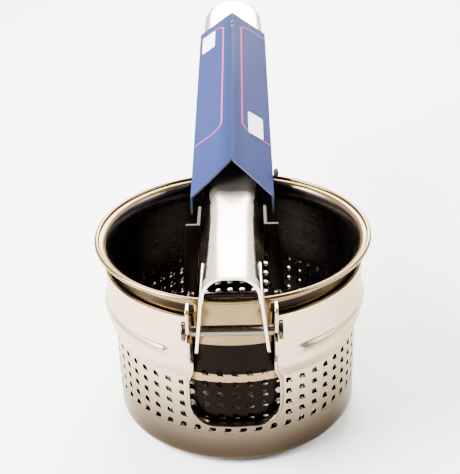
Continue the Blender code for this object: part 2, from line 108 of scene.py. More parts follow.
def linear(code: str) -> tuple[float, float, float, float]:
    """Turn an sRGB hex colour into the linear colour that a shader takes.

    Args:
        code: The colour, such as "#C8B49A".

    Returns:
        Linear red, green and blue, and an alpha of one.
    """
    channels = [int(code[place:place + 2], 16) / 255 for place in (1, 3, 5)]
    red, green, blue = (
        value / 12.92 if value <= 0.04045 else ((value + 0.055) / 1.055) ** 2.4 for value in channels
    )
    return red, green, blue, 1.0


def add_node(
    tree: bpy.types.NodeTree, kind: str, settings: dict | None = None, inputs: dict | None = None
) -> bpy.types.Node:
    """Add a node with its settings and its links.

    Args:
        tree: The node tree that takes the node.
        kind: The node's type name.
        settings: Attributes of the node by name.
        inputs: Values or output sockets by the input's name or number.

    Returns:
        The new node.
    """
    node = tree.nodes.new(kind)
    for name, value in (settings or {}).items():
        setattr(node, name, value)
    for key, value in (inputs or {}).items():
        if isinstance(value, bpy.types.NodeSocket):
            tree.links.new(value, node.inputs[key])
        else:
            node.inputs[key].default_value = value
    return node


def new_material(name: str) -> tuple[bpy.types.Material, bpy.types.NodeTree, bpy.types.Node]:
    """Start a node material.

    Args:
        name: The material's name.

    Returns:
        The material, its node tree and its Principled shader.
    """
    material = bpy.data.materials.new(name)
    material.use_nodes = True
    return material, material.node_tree, material.node_tree.nodes["Principled BSDF"]


class Grain(Enum):
    """Which way the fine lines of a drawn or brushed sheet run, as a scale on each axis."""

    AROUND = (0.012, 0.012, 1.0)
    ALONG = (1.0, 0.012, 1.0)
    EVEN = (1.0, 1.0, 1.0)


@dataclass(frozen=True)
class SteelFinish:
    """A finish on stainless-steel sheet: warm grey metal, fine grain lines and soft handling marks.

    A foot colour fades in towards the table as painted shade, and a painted highlight colour marks one level
    ring.
    """

    name: str
    light: str
    dark: str
    roughness: float
    spread: float
    grain: Grain
    line_mm: float
    cloud_mm: float
    depth: float
    foot: str = ""
    foot_low: float = 8.0
    foot_high: float = 40.0
    edge: str = "#F6EEE2"
    highlight_ring: str = ""
    highlight_ring_height: float = 36.3
    highlight_ring_half: float = 1.6

    def make(self) -> bpy.types.Material:
        """Build the node material.

        Returns:
            The material.
        """
        material, tree, shader = new_material(self.name)
        place = add_node(tree, "ShaderNodeTexCoord").outputs["Object"]
        stretched = add_node(tree, "ShaderNodeMapping", inputs={"Vector": place, "Scale": self.grain.value})
        lines = add_node(tree, "ShaderNodeTexNoise", inputs={
            "Vector": stretched.outputs["Vector"], "Scale": 1 / (self.line_mm * MM),
            "Detail": 4.0, "Roughness": 0.65,
        })
        clouds = add_node(tree, "ShaderNodeTexNoise", inputs={
            "Vector": place, "Scale": 1 / (self.cloud_mm * MM), "Detail": 3.0, "Distortion": 0.6,
        })
        mixed = add_node(tree, "ShaderNodeMath", {"operation": "MULTIPLY_ADD"}, {
            0: lines.outputs["Fac"], 1: 0.55, 2: add_node(tree, "ShaderNodeMath", {"operation": "MULTIPLY"}, {
                0: clouds.outputs["Fac"], 1: 0.45,
            }).outputs[0],
        })
        rough = add_node(tree, "ShaderNodeMapRange", inputs={
            "Value": mixed.outputs[0], "From Min": 0.35, "From Max": 0.65,
            "To Min": self.roughness - self.spread, "To Max": self.roughness + self.spread,
        })
        tint = add_node(tree, "ShaderNodeMix", {"data_type": "RGBA"}, {
            0: mixed.outputs[0], 6: linear(self.light), 7: linear(self.dark),
        })
        colour = tint.outputs[2]
        # Painted shade: the foot colour darkens the metal towards the table
        if self.foot:
            height = add_node(tree, "ShaderNodeSeparateXYZ", inputs={0: place}).outputs["Z"]
            fade = add_node(tree, "ShaderNodeMapRange", {"interpolation_type": "SMOOTHSTEP"}, {
                "Value": height, "From Min": self.foot_low * MM, "From Max": self.foot_high * MM,
            })
            colour = add_node(tree, "ShaderNodeMix", {"data_type": "RGBA"}, {
                0: fade.outputs["Result"], 6: linear(self.foot), 7: colour,
            }).outputs[2]
        # Painted highlight: a lighter level ring
        if self.highlight_ring:
            height = add_node(tree, "ShaderNodeSeparateXYZ", inputs={0: place}).outputs["Z"]
            ring = add_node(tree, "ShaderNodeMath", {"operation": "COMPARE"}, {
                0: height, 1: self.highlight_ring_height * MM, 2: self.highlight_ring_half * MM,
            })
            colour = add_node(tree, "ShaderNodeMix", {"data_type": "RGBA"}, {
                0: ring.outputs[0], 6: colour, 7: linear(self.highlight_ring),
            }).outputs[2]
        bump = add_node(tree, "ShaderNodeBump", inputs={
            "Height": lines.outputs["Fac"], "Strength": self.depth, "Distance": 0.02 * MM,
        })
        shader.inputs["Metallic"].default_value = 1.0
        shader.inputs["Specular Tint"].default_value = linear(self.edge)
        tree.links.new(colour, shader.inputs["Base Color"])
        tree.links.new(rough.outputs["Result"], shader.inputs["Roughness"])
        tree.links.new(bump.outputs["Normal"], shader.inputs["Normal"])
        return material


@dataclass(frozen=True)
class CardFinish:
    """Printed board with a matt varnish: blue ground darkened towards the ridge as painted shade, and one
    pink rule round a panel on each slope.
    """

    name: str = "varnished printed board"
    ground: str = "#1A2450"
    ground_worn: str = "#242E5E"
    # Painted shade: the blue darkens to this colour at the ridge
    ridge: str = "#0A1C4A"
    ridge_shade_reach: float = 6.0
    rule: str = "#A63A78"
    rule_width: float = 0.6
    panel_inner: float = 4.2
    panel_outer: float = 22.0
    panel_near: float = 50.0
    panel_far: float = 148.0
    panel_corner: float = 5.0
    fibre_mm: float = 0.35

    def make(self) -> bpy.types.Material:
        """Build the node material.

        Returns:
            The material.
        """
        material, tree, shader = new_material(self.name)
        place = add_node(tree, "ShaderNodeTexCoord").outputs["Object"]
        fibre = add_node(tree, "ShaderNodeTexNoise", inputs={
            "Vector": place, "Scale": 1 / (self.fibre_mm * MM), "Detail": 3.0,
        })
        wear = add_node(tree, "ShaderNodeTexNoise", inputs={
            "Vector": place, "Scale": 1 / (14.0 * MM), "Detail": 4.0,
        })
        ground = add_node(tree, "ShaderNodeMix", {"data_type": "RGBA"}, {
            0: wear.outputs["Fac"], 6: linear(self.ground), 7: linear(self.ground_worn),
        })
        across = add_node(tree, "ShaderNodeMath", {"operation": "ABSOLUTE"}, {
            0: add_node(tree, "ShaderNodeSeparateXYZ", inputs={0: place}).outputs["X"],
        })
        fade = add_node(tree, "ShaderNodeMapRange", inputs={
            "Value": across.outputs[0], "From Min": 0.0, "From Max": self.ridge_shade_reach * MM,
        })
        shaded = add_node(tree, "ShaderNodeMix", {"data_type": "RGBA"}, {
            0: fade.outputs["Result"], 6: linear(self.ridge), 7: ground.outputs[2],
        })
        colour = add_node(tree, "ShaderNodeMix", {"data_type": "RGBA"}, {
            0: self.rule_mask(tree, place), 6: shaded.outputs[2], 7: linear(self.rule),
        })
        rough = add_node(tree, "ShaderNodeMapRange", inputs={
            "Value": fibre.outputs["Fac"], "From Min": 0.3, "From Max": 0.7, "To Min": 0.42, "To Max": 0.54,
        })
        bump = add_node(tree, "ShaderNodeBump", inputs={
            "Height": fibre.outputs["Fac"], "Strength": 0.15, "Distance": 0.02 * MM,
        })
        shader.inputs["IOR"].default_value = 1.5
        shader.inputs["Specular IOR Level"].default_value = 0.08
        tree.links.new(colour.outputs[2], shader.inputs["Base Color"])
        tree.links.new(rough.outputs["Result"], shader.inputs["Roughness"])
        tree.links.new(bump.outputs["Normal"], shader.inputs["Normal"])
        return material

    def rule_mask(self, tree: bpy.types.NodeTree, place: bpy.types.NodeSocket) -> bpy.types.NodeSocket:
        """Mark the rule round each slope's panel, a rectangle with rounded corners.

        Args:
            tree: The material's node tree.
            place: The object coordinates.

        Returns:
            A socket that is one on the rule and zero off it.
        """
        centre = (
            (self.panel_inner + self.panel_outer) / 2 * MM,
            (self.panel_near + self.panel_far) / 2 * MM,
            0.0,
        )
        reach = (
            ((self.panel_outer - self.panel_inner) / 2 - self.panel_corner) * MM,
            ((self.panel_far - self.panel_near) / 2 - self.panel_corner) * MM,
            1.0,
        )
        steps = (
            ("MULTIPLY", (1.0, 1.0, 0.0)), ("ABSOLUTE", None), ("SUBTRACT", centre),
            ("ABSOLUTE", None), ("SUBTRACT", reach), ("MAXIMUM", (0.0, 0.0, 0.0)),
        )
        for operation, other in steps:
            inputs = {0: place} if other is None else {0: place, 1: other}
            place = add_node(tree, "ShaderNodeVectorMath", {"operation": operation}, inputs).outputs[0]
        length = add_node(tree, "ShaderNodeVectorMath", {"operation": "LENGTH"}, {0: place})
        compare = add_node(tree, "ShaderNodeMath", {"operation": "COMPARE"}, {
            0: length.outputs["Value"], 1: self.panel_corner * MM, 2: self.rule_width / 2 * MM,
        })
        return compare.outputs[0]


@dataclass(frozen=True)
class PaperFinish:
    """Uncoated paper or board: matt, with a faint fibre grain."""

    name: str
    light: str
    dark: str
    fibre_mm: float

    def make(self) -> bpy.types.Material:
        """Build the node material.

        Returns:
            The material.
        """
        material, tree, shader = new_material(self.name)
        place = add_node(tree, "ShaderNodeTexCoord").outputs["Object"]
        fibre = add_node(tree, "ShaderNodeTexNoise", inputs={
            "Vector": place, "Scale": 1 / (self.fibre_mm * MM), "Detail": 4.0,
        })
        tint = add_node(tree, "ShaderNodeMix", {"data_type": "RGBA"}, {
            0: fibre.outputs["Fac"], 6: linear(self.light), 7: linear(self.dark),
        })
        bump = add_node(tree, "ShaderNodeBump", inputs={
            "Height": fibre.outputs["Fac"], "Strength": 0.2, "Distance": 0.02 * MM,
        })
        shader.inputs["Roughness"].default_value = 0.7
        tree.links.new(tint.outputs[2], shader.inputs["Base Color"])
        tree.links.new(bump.outputs["Normal"], shader.inputs["Normal"])
        return material


class Palette:
    """Every finish on the ricer, made once."""

    def __init__(self) -> None:
        """Make the materials."""
        # Satin drawn sheet: soft reflections with fine lines round the drum, and a browner painted shade that
        # darkens it towards its foot
        self.drum = SteelFinish(
            "satin drawn stainless steel", "#CDBA9E", "#B7A385", 0.26, 0.06, Grain.AROUND, 0.5, 22.0, 0.35,
            foot="#342B21", foot_low=4.0, foot_high=48.0,
        ).make()
        # Drawn and half-polished sheet with lines from the drawing die; its own tint is darkened as painted
        # shade for the cup down inside the drum
        self.cup = SteelFinish(
            "drawn stainless steel darkened as painted shade", "#8F7856", "#6C583E", 0.22, 0.05, Grain.AROUND, 0.6, 16.0, 0.3
        ).make()
        # Dark smooth straw-brown steel: painted shade inside the drum and the cup, in the holes, and under
        # and beside the upper handle; also the plain finish of the pin heads and of the press's yoke and
        # plate
        self.dull_and_shade = SteelFinish(
            "annealed stainless steel and painted shade", "#514A46", "#37312E", 0.24, 0.06, Grain.AROUND, 0.6, 12.0, 0.3
        ).make()
        # Near-black steel: painted shade on the cup's outside low down and under its rim beside the notch,
        # with a painted highlight ring at the drum's crease
        self.highlight_ring = SteelFinish(
            "near-black painted shade with a painted highlight ring", "#150F0C", "#0D0A08", 0.24, 0.06, Grain.AROUND, 0.6, 12.0, 0.3,
            highlight_ring="#8E7858",
        ).make()
        # Buffed sheet: sharp highlights, with faint polishing lines along the handle
        self.handle = SteelFinish(
            "buffed stainless steel", "#EDE6DC", "#DCD2C4", 0.30, 0.03, Grain.ALONG, 0.7, 18.0, 0.2
        ).make()
        # Turned and headed wire: bright, evenly scuffed
        self.pin = SteelFinish(
            "turned stainless steel", "#7E7266", "#5C5248", 0.22, 0.06, Grain.EVEN, 0.8, 5.0, 0.2
        ).make()
        # Rolled sheet as the mill leaves it: even and slightly dull
        self.mill = SteelFinish(
            "mill-finish stainless steel", "#CDBFAA", "#A99A84", 0.30, 0.07, Grain.EVEN, 1.2, 14.0, 0.3
        ).make()
        # Stamped strips in dark brown steel
        self.dark_brown = SteelFinish(
            "dark brown stainless steel", "#4A3A2F", "#2C211A", 0.36, 0.07, Grain.EVEN, 1.2, 9.0, 0.3
        ).make()
        # Matt near-black: painted shade on the hangers' tops under the handle
        self.scale = PaperFinish("dark weld scale", "#2B221C", "#17110D", 0.6).make()
        # Varnished board: saturated ink under a dull shine
        self.card = CardFinish().make()
        # Cut edge of board: ink-stained fibre
        self.core = PaperFinish("cut board edge", "#3A3F5C", "#2C3048", 0.3).make()
        # Back of board, darkened nearly to black as painted shade inside the folded card
        self.back = PaperFinish("board back in painted shade", "#24242B", "#16161B", 0.4).make()
        # Blank self-adhesive paper
        self.label = PaperFinish("blank label paper", "#F4F3F6", "#E3E2EA", 0.3).make()
        # Black plastic tie
        self.tie = PaperFinish("black moulded nylon", "#23263C", "#14151F", 0.5).make()


# ---------------------------------------------------------------- mesh tools


def arc(centre: Point, radius: float, start: float, end: float, steps: int) -> Outline:
    """Points on a circle arc.

    Args:
        centre: The arc's centre.
        radius: The arc's radius.
        start: The first angle in degrees.
        end: The last angle in degrees.
        steps: The number of chords.

    Returns:
        The points, both ends included.
    """
    points = []
    for step in range(steps + 1):
        angle = math.radians(start + (end - start) * step / steps)
        points.append((centre[0] + radius * math.cos(angle), centre[1] + radius * math.sin(angle)))
    return points


def between(value: float, keys: Sequence[Sequence[float]], column: int) -> float:
    """Read a smooth curve through key rows, whose first column is the place along the curve.

    Args:
        value: The place along the curve.
        keys: The key rows in rising order.
        column: The column to read.

    Returns:
        The column's value there.
    """
    for low, high in zip(keys, keys[1:]):
        if value <= high[0]:
            share = min(max((value - low[0]) / (high[0] - low[0]), 0.0), 1.0)
            return low[column] + (high[column] - low[column]) * share * share * (3 - 2 * share)
    return keys[-1][column]


def make_piece(
    bm: bmesh.types.BMesh, name: str, body: str, replaces: Sequence[str] = (), crease: float = 32.0
) -> bpy.types.Object:
    """Turn a bmesh into a piece that rides on a CAD body.

    Args:
        bm: The finished shape, in metres. It is freed.
        name: The piece's name.
        body: The CAD body that carries it.
        replaces: The CAD nodes that the piece stands for.
        crease: Edges over this angle in degrees are drawn sharp.

    Returns:
        The piece.
    """
    bmesh.ops.remove_doubles(bm, verts=bm.verts, dist=0.002 * MM)
    mesh = bpy.data.meshes.new(name)
    bm.to_mesh(mesh)
    bm.free()
    mesh.shade_smooth()
    mesh.set_sharp_from_angle(angle=math.radians(crease))
    piece = bpy.data.objects.new(name, mesh)
    bpy.context.scene.collection.objects.link(piece)
    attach(piece, body)
    if replaces:
        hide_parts(*replaces)
    return piece


def dress(piece: bpy.types.Object, *materials: bpy.types.Material) -> None:
    """Give a piece its materials, in slot order.

    Args:
        piece: The piece or CAD node.
        materials: Its materials, first slot first.
    """
    for place, material in enumerate(materials):
        if place < len(piece.data.materials):
            piece.data.materials[place] = material
        else:
            piece.data.materials.append(material)


def merge(target: bmesh.types.BMesh, part: bmesh.types.BMesh) -> None:
    """Add one bmesh's geometry to another and free it.

    Args:
        target: The bmesh that grows.
        part: The bmesh that is added and freed.
    """
    mesh = bpy.data.meshes.new("part")
    part.to_mesh(mesh)
    part.free()
    target.from_mesh(mesh)
    bpy.data.meshes.remove(mesh)


def spun(outline: Outline, steps: int) -> bmesh.types.BMesh:
    """Spin a closed (radius, height) outline about the Z axis.

    Args:
        outline: The section's points in metres.
        steps: The number of segments in a full turn.

    Returns:
        The closed ring or solid.
    """
    bm = bmesh.new()
    verts = [bm.verts.new((radius, 0.0, height)) for radius, height in outline]
    edges = []
    for first, second in zip(verts, verts[1:] + verts[:1]):
        if first.co.x > 1e-7 or second.co.x > 1e-7:
            edges.append(bm.edges.new((first, second)))
    bmesh.ops.spin(
        bm, geom=verts + edges, cent=(0, 0, 0), axis=(0, 0, 1), angle=math.tau, steps=steps, use_merge=True
    )
    bmesh.ops.remove_doubles(bm, verts=bm.verts, dist=0.002 * MM)
    bmesh.ops.recalc_face_normals(bm, faces=bm.faces)
    return bm


def plate(outline: Outline, low: float, high: float, edge: float) -> bmesh.types.BMesh:
    """A flat plate with softened edges, its outline in the (y, z) plane and its thickness along X.

    Args:
        outline: The outline's points in metres.
        low: The lower X of the plate.
        high: The higher X of the plate.
        edge: The bevel on the outline's edges, or zero for none.

    Returns:
        The closed plate.
    """
    bm = bmesh.new()
    face = bm.faces.new([bm.verts.new((low, y, z)) for y, z in outline])
    grown = bmesh.ops.extrude_face_region(bm, geom=[face])["geom"]
    moved = [item for item in grown if isinstance(item, bmesh.types.BMVert)]
    bmesh.ops.translate(bm, verts=moved, vec=(high - low, 0, 0))
    bmesh.ops.recalc_face_normals(bm, faces=bm.faces)
    if edge:
        rims = [item for item in bm.edges if abs(item.verts[0].co.x - item.verts[1].co.x) < 1e-7]
        bmesh.ops.bevel(
            bm, geom=rims, offset=edge, segments=2, profile=0.5, affect="EDGES", material=-1,
            clamp_overlap=True,
        )
    return bm


def mirrored(bm: bmesh.types.BMesh) -> bmesh.types.BMesh:
    """Flip a closed shape to the other side of the YZ plane.

    Args:
        bm: The shape, which is changed.

    Returns:
        The same bmesh.
    """
    bmesh.ops.scale(bm, vec=(-1, 1, 1), verts=bm.verts)
    bmesh.ops.recalc_face_normals(bm, faces=bm.faces)
    return bm


def turned(radius: float, length: float, centre: Vector, edge: float, steps: int = 40) -> bmesh.types.BMesh:
    """A turned rod along X with rounded ends.

    Args:
        radius: The rod's radius.
        length: The rod's length.
        centre: The rod's middle.
        edge: The rounding at the ends.
        steps: The number of sides.

    Returns:
        The closed rod.
    """
    bm = bmesh.new()
    bmesh.ops.create_cone(
        bm, cap_ends=True, segments=steps, radius1=radius, radius2=radius, depth=length,
        matrix=Matrix.Translation(centre) @ Matrix.Rotation(math.radians(90), 4, "Y"),
    )
    rims = [item for item in bm.edges if abs(item.verts[0].co.x - item.verts[1].co.x) < 1e-7]
    bmesh.ops.bevel(bm, geom=rims, offset=edge, segments=3, profile=0.5, affect="EDGES", material=-1)
    bmesh.ops.recalc_face_normals(bm, faces=bm.faces)
    return bm


def dome(radius: float, height: float, place: Matrix) -> bmesh.types.BMesh:
    """A low domed rivet head, its flat side on the local XY plane.

    Args:
        radius: The head's radius.
        height: The head's height.
        place: Where the head goes.

    Returns:
        The closed head.
    """
    outline = arc((0.0, 0.0), 1.0, 0, 90, 8)
    rim = [(x * radius, z * height) for x, z in outline]
    bm = spun([(0.0, 0.0)] + rim[:-1] + [(0.0, height)], 28)
    bmesh.ops.transform(bm, matrix=place, verts=bm.verts)
    return bm


def formed_grid(columns: int, rows: int, place: Callable[[float, float], Vector]) -> bmesh.types.BMesh:
    """Form a flat grid into a curved sheet.

    Args:
        columns: Cells across.
        rows: Cells along.
        place: Gives a point for each share across and share along, both from zero to one.

    Returns:
        The open sheet.
    """
    bm = bmesh.new()
    bmesh.ops.create_grid(bm, x_segments=columns, y_segments=rows, size=0.5)
    for vert in bm.verts:
        vert.co = place(vert.co.x + 0.5, vert.co.y + 0.5)
    return bm


def thicken(
    bm: bmesh.types.BMesh, sheet: float, outward: Callable[[Vector, Vector], float]
) -> bmesh.types.BMesh:
    """Turn the sheet's faces to the side that a test names as outward, and thicken it inwards.

    Args:
        bm: The open sheet.
        sheet: The thickness.
        outward: Given a face's centre and normal, positive when the normal points outward.

    Returns:
        The closed shell.
    """
    total = sum(outward(face.calc_center_median(), face.normal) * face.calc_area() for face in bm.faces)
    if total < 0:
        bmesh.ops.reverse_faces(bm, faces=bm.faces)
    bm.normal_update()
    bmesh.ops.solidify(bm, geom=bm.faces[:], thickness=sheet)
    return bm


def radial(centre: Vector, normal: Vector) -> float:
    """How far a normal points away from the Z axis, or down on a flat base."""
    return centre.x * normal.x + centre.y * normal.y - normal.z * 0.01


@dataclass
class RolledWall:
    """A sheet that is made flat, pierced and cut out, and then rolled round the Z axis."""

    stations: Outline
    columns: int
    pierced: frozenset[int] = frozenset()
    hole_radius: float = 0.0
    roll: float = field(init=False)
    lengths: list[float] = field(init=False)

    def __post_init__(self) -> None:
        """Measure the flat sheet."""
        self.roll = max(radius for radius, _ in self.stations)
        self.lengths = [0.0]
        for (r0, z0), (r1, z1) in zip(self.stations, self.stations[1:]):
            self.lengths.append(self.lengths[-1] + math.hypot(r1 - r0, z1 - z0))

    def flat(self) -> bmesh.types.BMesh:
        """Make the flat sheet, with x round the wall and y down it, and pierce its holes.

        Returns:
            The flat sheet.
        """
        bm = bmesh.new()
        rows = len(self.stations) - 1
        bmesh.ops.create_grid(bm, x_segments=self.columns, y_segments=rows, size=0.5)
        chosen = [
            face for face in bm.faces
            if math.floor((0.5 - face.calc_center_median().y) * rows) in self.pierced
        ]
        for vert in bm.verts:
            row = round((0.5 - vert.co.y) * rows)
            vert.co = (vert.co.x * math.tau * self.roll, -self.lengths[row], 0.0)
        if chosen:
            self.pierce(bm, chosen)
        return bm

    def pierce(self, bm: bmesh.types.BMesh, cells: list[bmesh.types.BMFace]) -> None:
        """Make a round hole in the middle of each cell.

        Args:
            bm: The flat sheet.
            cells: The faces to pierce.
        """
        middles = {face: face.calc_center_median().copy() for face in cells}
        side = min(edge.calc_length() for edge in cells[0].edges)
        bmesh.ops.inset_individual(bm, faces=cells, thickness=side / 2 - self.hole_radius * 0.8)
        rings = [(list(face.edges), middles[face]) for face in cells]
        bmesh.ops.delete(bm, geom=cells, context="FACES_ONLY")
        for edges, middle in rings:
            cut = bmesh.ops.subdivide_edges(bm, edges=edges, cuts=2)
            ring = {item for item in cut["geom_inner"] if isinstance(item, bmesh.types.BMVert)}
            ring |= {vert for edge in edges for vert in edge.verts}
            for vert in ring:
                vert.co = middle + (vert.co - middle).normalized() * self.hole_radius

    def across(self, x: float, z: float) -> Vector:
        """Where a point of the front view lies on the flat sheet.

        Args:
            x: The point's X in metres.
            z: The point's height in metres.

        Returns:
            The point on the flat sheet.
        """
        for index, ((r0, z0), (r1, z1)) in enumerate(zip(self.stations, self.stations[1:])):
            if z1 <= z <= z0:
                share = (z0 - z) / (z0 - z1)
                radius = r0 + (r1 - r0) * share
                length = self.lengths[index] + share * (self.lengths[index + 1] - self.lengths[index])
                return Vector((self.roll * math.asin(x / radius), -length, 0.0))
        if z > self.stations[0][1]:
            return Vector((self.roll * math.asin(x / self.stations[0][0]), z - self.stations[0][1], 0.0))
        radius, height = self.stations[-1]
        return Vector((self.roll * math.asin(x / radius), -self.lengths[-1] - (height - z), 0.0))

    def cut_window(self, bm: bmesh.types.BMesh, outline: Outline) -> None:
        """Cut a convex window out of the flat sheet.

        Args:
            bm: The flat sheet.
            outline: The window's (x, z) points in the front view, in clockwise order seen from the front.
        """
        corners = [self.across(x, z) for x, z in outline]
        reach = max(corner.x for corner in corners) + 10 * MM
        inside = [face for face in bm.faces if abs(face.calc_center_median().x) < reach]
        centre = sum(corners, Vector()) / len(corners)
        for first, second in zip(corners, corners[1:] + corners[:1]):
            along = second - first
            if along.length < 1e-6 or not inside:
                continue
            out = Vector((along.y, -along.x, 0.0)).normalized()
            if (centre - first).dot(out) > 0:
                out = -out
            geom = {item for face in inside for item in (face, *face.edges, *face.verts)}
            result = bmesh.ops.bisect_plane(bm, geom=list(geom), plane_co=first, plane_no=out, dist=1e-7)
            faces = [item for item in result["geom"] if isinstance(item, bmesh.types.BMFace)]
            inside = [face for face in faces if (face.calc_center_median() - first).dot(out) < 0]
        bmesh.ops.delete(bm, geom=inside, context="FACES")

    def roll_up(self, bm: bmesh.types.BMesh, bulge: Callable[[float, float], float] | None = None) -> None:
        """Roll the flat sheet round the Z axis.

        Args:
            bm: The flat sheet, which is changed.
            bulge: Extra radius for an angle from the front and a height.
        """
        for vert in bm.verts:
            length = min(max(-vert.co.y, 0.0), self.lengths[-1])
            index = 0
            while index < len(self.lengths) - 2 and length > self.lengths[index + 1]:
                index += 1
            share = (length - self.lengths[index]) / (self.lengths[index + 1] - self.lengths[index])
            (r0, z0), (r1, z1) = self.stations[index], self.stations[index + 1]
            radius = r0 + (r1 - r0) * share
            height = z0 + (z1 - z0) * share
            angle = vert.co.x / self.roll
            if bulge:
                radius += bulge(angle, height)
            vert.co = (radius * math.sin(angle), -radius * math.cos(angle), height)
        bmesh.ops.remove_doubles(bm, verts=bm.verts, dist=0.004 * MM)


# ---------------------------------------------------------------- sub-assemblies


@dataclass
class Assembly:
    """A sub-assembly, which keeps the pieces that it has built."""

    pieces: list[bpy.types.Object] = field(default_factory=list, init=False)

    def keep(
        self, bm: bmesh.types.BMesh, name: str, body: str, slot: str, *nodes: str, crease: float = 32.0
    ) -> None:
        """Make a finished shape one of this sub-assembly's pieces.

        Args:
            bm: The finished shape, in metres. It is freed.
            name: The piece's name.
            body: The CAD body that carries it.
            slot: The record's material slot; not used.
            nodes: The CAD nodes that the piece stands for.
            crease: Edges over this angle in degrees are drawn sharp.
        """
        self.pieces.append(make_piece(bm, name, body, nodes, crease))


@dataclass(frozen=True)
class Hinge:
    """Where the hinge pin runs across the front, in millimetres."""

    y: float = -53.8
    z: float = 62.8
    pin_radius: float = 1.75
    bore: float = 1.83


@dataclass(frozen=True)
class Perforation:
    """A pattern of round holes in level rows, in millimetres."""

    columns: int
    rows: int
    pitch: float = 4.5
    radius: float = 1.2
    lowest: float = 15.8

    def edges(self) -> list[float]:
        """Heights of the rows' borders, from the top down, in millimetres."""
        top = self.lowest + (self.rows - 0.5) * self.pitch
        return [top - row * self.pitch for row in range(self.rows + 1)]


@dataclass
class Drum(Assembly):
    """The outer drum: plain upper band with pressed ribs, pierced lower band, notch, turned edge and ears."""

    hinge: Hinge
    holes: Perforation
    top: float = 62.0
    band_radius: float = 46.9
    wall_radius: float = 44.9
    crease: float = 36.5
    taper: float = 4.5
    fine: float = 0.8
    rib_height: float = 47.0
    rib_half: float = 1.3
    rib_depth: float = 1.35
    rib_start: tuple[float, float] = (25.0, 31.0)
    rib_end: tuple[float, float] = (146.0, 154.0)
    low: float = 1.1
    corner: float = 3.0
    lip: float = 4.0
    sheet: float = 1.0
    neck: float = 13.6
    wide: float = 15.5
    notch_bottom: float = 18.3
    notch_corner: float = 8.0
    ear_top: float = 72.6
    ear_reach: float = 4.2
    ear_tip: float = 1.3
    hook_back: float = -52.6
    strip_low: float = 46.0

    def build(self) -> None:
        """Build the wall, the notch's edge and the two ears."""
        self.build_wall()
        self.build_notch_edge()
        for side, name in ((1, "right"), (-1, "left")):
            self.build_ear(side, name)

    def dress(self, palette: Palette) -> None:
        """Give every piece, and the base disc, its steel.

        Args:
            palette: The ricer's finishes.
        """
        for piece in self.pieces:
            # The wall's second slot is the dark steel of painted shade in the holes and inside the drum
            dress(piece, palette.drum, *([palette.dull_and_shade] if piece.name == "drum_wall" else []))
        dress(frame["nodes"]["drum_base"], palette.mill)

    def radius_at(self, height: float) -> float:
        """The wall's outer radius at a height, in millimetres.

        Args:
            height: The height in millimetres.

        Returns:
            The radius.
        """
        if height <= self.crease:
            return self.wall_radius
        share = min((height - self.crease) / self.taper, 1.0)
        return self.wall_radius + (self.band_radius - self.wall_radius) * share

    def rib(self, angle: float, height: float) -> float:
        """The pressed rib's extra radius.

        Args:
            angle: The angle from the front in radians.
            height: The height in metres.

        Returns:
            The extra radius in metres.
        """
        turn = abs(math.degrees(angle))
        start, full = self.rib_start
        ending, gone = self.rib_end
        share = min(max(min((turn - start) / (full - start), (gone - turn) / (gone - ending)), 0.0), 1.0)
        offset = (height / MM - self.rib_height) / self.rib_half
        return self.rib_depth * MM * share * share * (3 - 2 * share) * math.exp(-offset * offset)

    def build_wall(self) -> None:
        """Roll the drum's wall from three bands of sheet."""
        cells = self.holes.edges()
        upper = [self.top - self.fine * step for step in range(29)]
        upper = [height for height in upper if height > cells[0] + 0.3] + [cells[0]]
        base = [cells[-1], 12.0, 9.0, 6.0]
        bands = [
            ([(self.radius_at(z), z) for z in upper], ROUND, frozenset()),
            ([(self.radius_at(z), z) for z in cells], self.holes.columns, frozenset(range(self.holes.rows))),
            ([(self.radius_at(z), z) for z in base] + self.base_corner(), ROUND, frozenset()),
        ]
        shell = bmesh.new()
        for stations, columns, pierced in bands:
            scaled = [(radius * MM, height * MM) for radius, height in stations]
            wall = RolledWall(scaled, columns, pierced, self.holes.radius * MM)
            sheet = wall.flat()
            if stations[-1][1] > self.low + 1:
                for window in self.windows(0.5 * self.sheet):
                    wall.cut_window(sheet, window)
            wall.roll_up(sheet, self.rib)
            solid = thicken(sheet, self.sheet * MM, radial)
            if pierced:
                self.mark_shaded_hole_walls(solid)
            merge(shell, solid)
        self.keep(shell, "drum_wall", "frame", "brushed_stainless", "drum_frame")

    def mark_shaded_hole_walls(self, band: bmesh.types.BMesh) -> None:
        """Put the holes' walls and the band's inside on the second finish, dark steel that paints the shade
        in the holes and inside the drum.

        Args:
            band: The pierced band as a closed wall.
        """
        for face in band.faces:
            centre = face.calc_center_median()
            if face.normal.dot(Vector((centre.x, centre.y, 0.0)).normalized()) < 0.5:
                face.material_index = 1

    def base_corner(self) -> Outline:
        """The rounded corner and the inward lip at the drum's foot, in millimetres."""
        centre = (self.wall_radius - self.corner, self.low + self.corner)
        return arc(centre, self.corner, 0, -90, 8) + [(self.wall_radius - self.corner - self.lip, self.low)]

    def windows(self, grow: float) -> list[Outline]:
        """The notch as two convex windows.

        Args:
            grow: How much wider all round than the notch itself.

        Returns:
            Each window's (x, z) points in metres.
        """
        neck, wide, low, corner = self.notch_sizes(grow)
        step = self.crease + self.taper
        right = [(neck, step), (wide, self.crease - 1.5)]
        right += arc((wide - corner, low + corner), corner, 0, -90, 8)
        lower = right + [(-x, z) for x, z in reversed(right)]
        top = self.top + 4
        upper = [(neck, top), (neck, step - 0.05), (-neck, step - 0.05), (-neck, top)]
        return [[(x * MM, z * MM) for x, z in window] for window in (upper, lower)]

    def notch_sizes(self, grow: float) -> tuple[float, float, float, float]:
        """The notch's neck and lower half-width, lowest height and corner radius, grown by a distance."""
        return self.neck + grow, self.wide + grow, self.notch_bottom - grow, self.notch_corner + grow

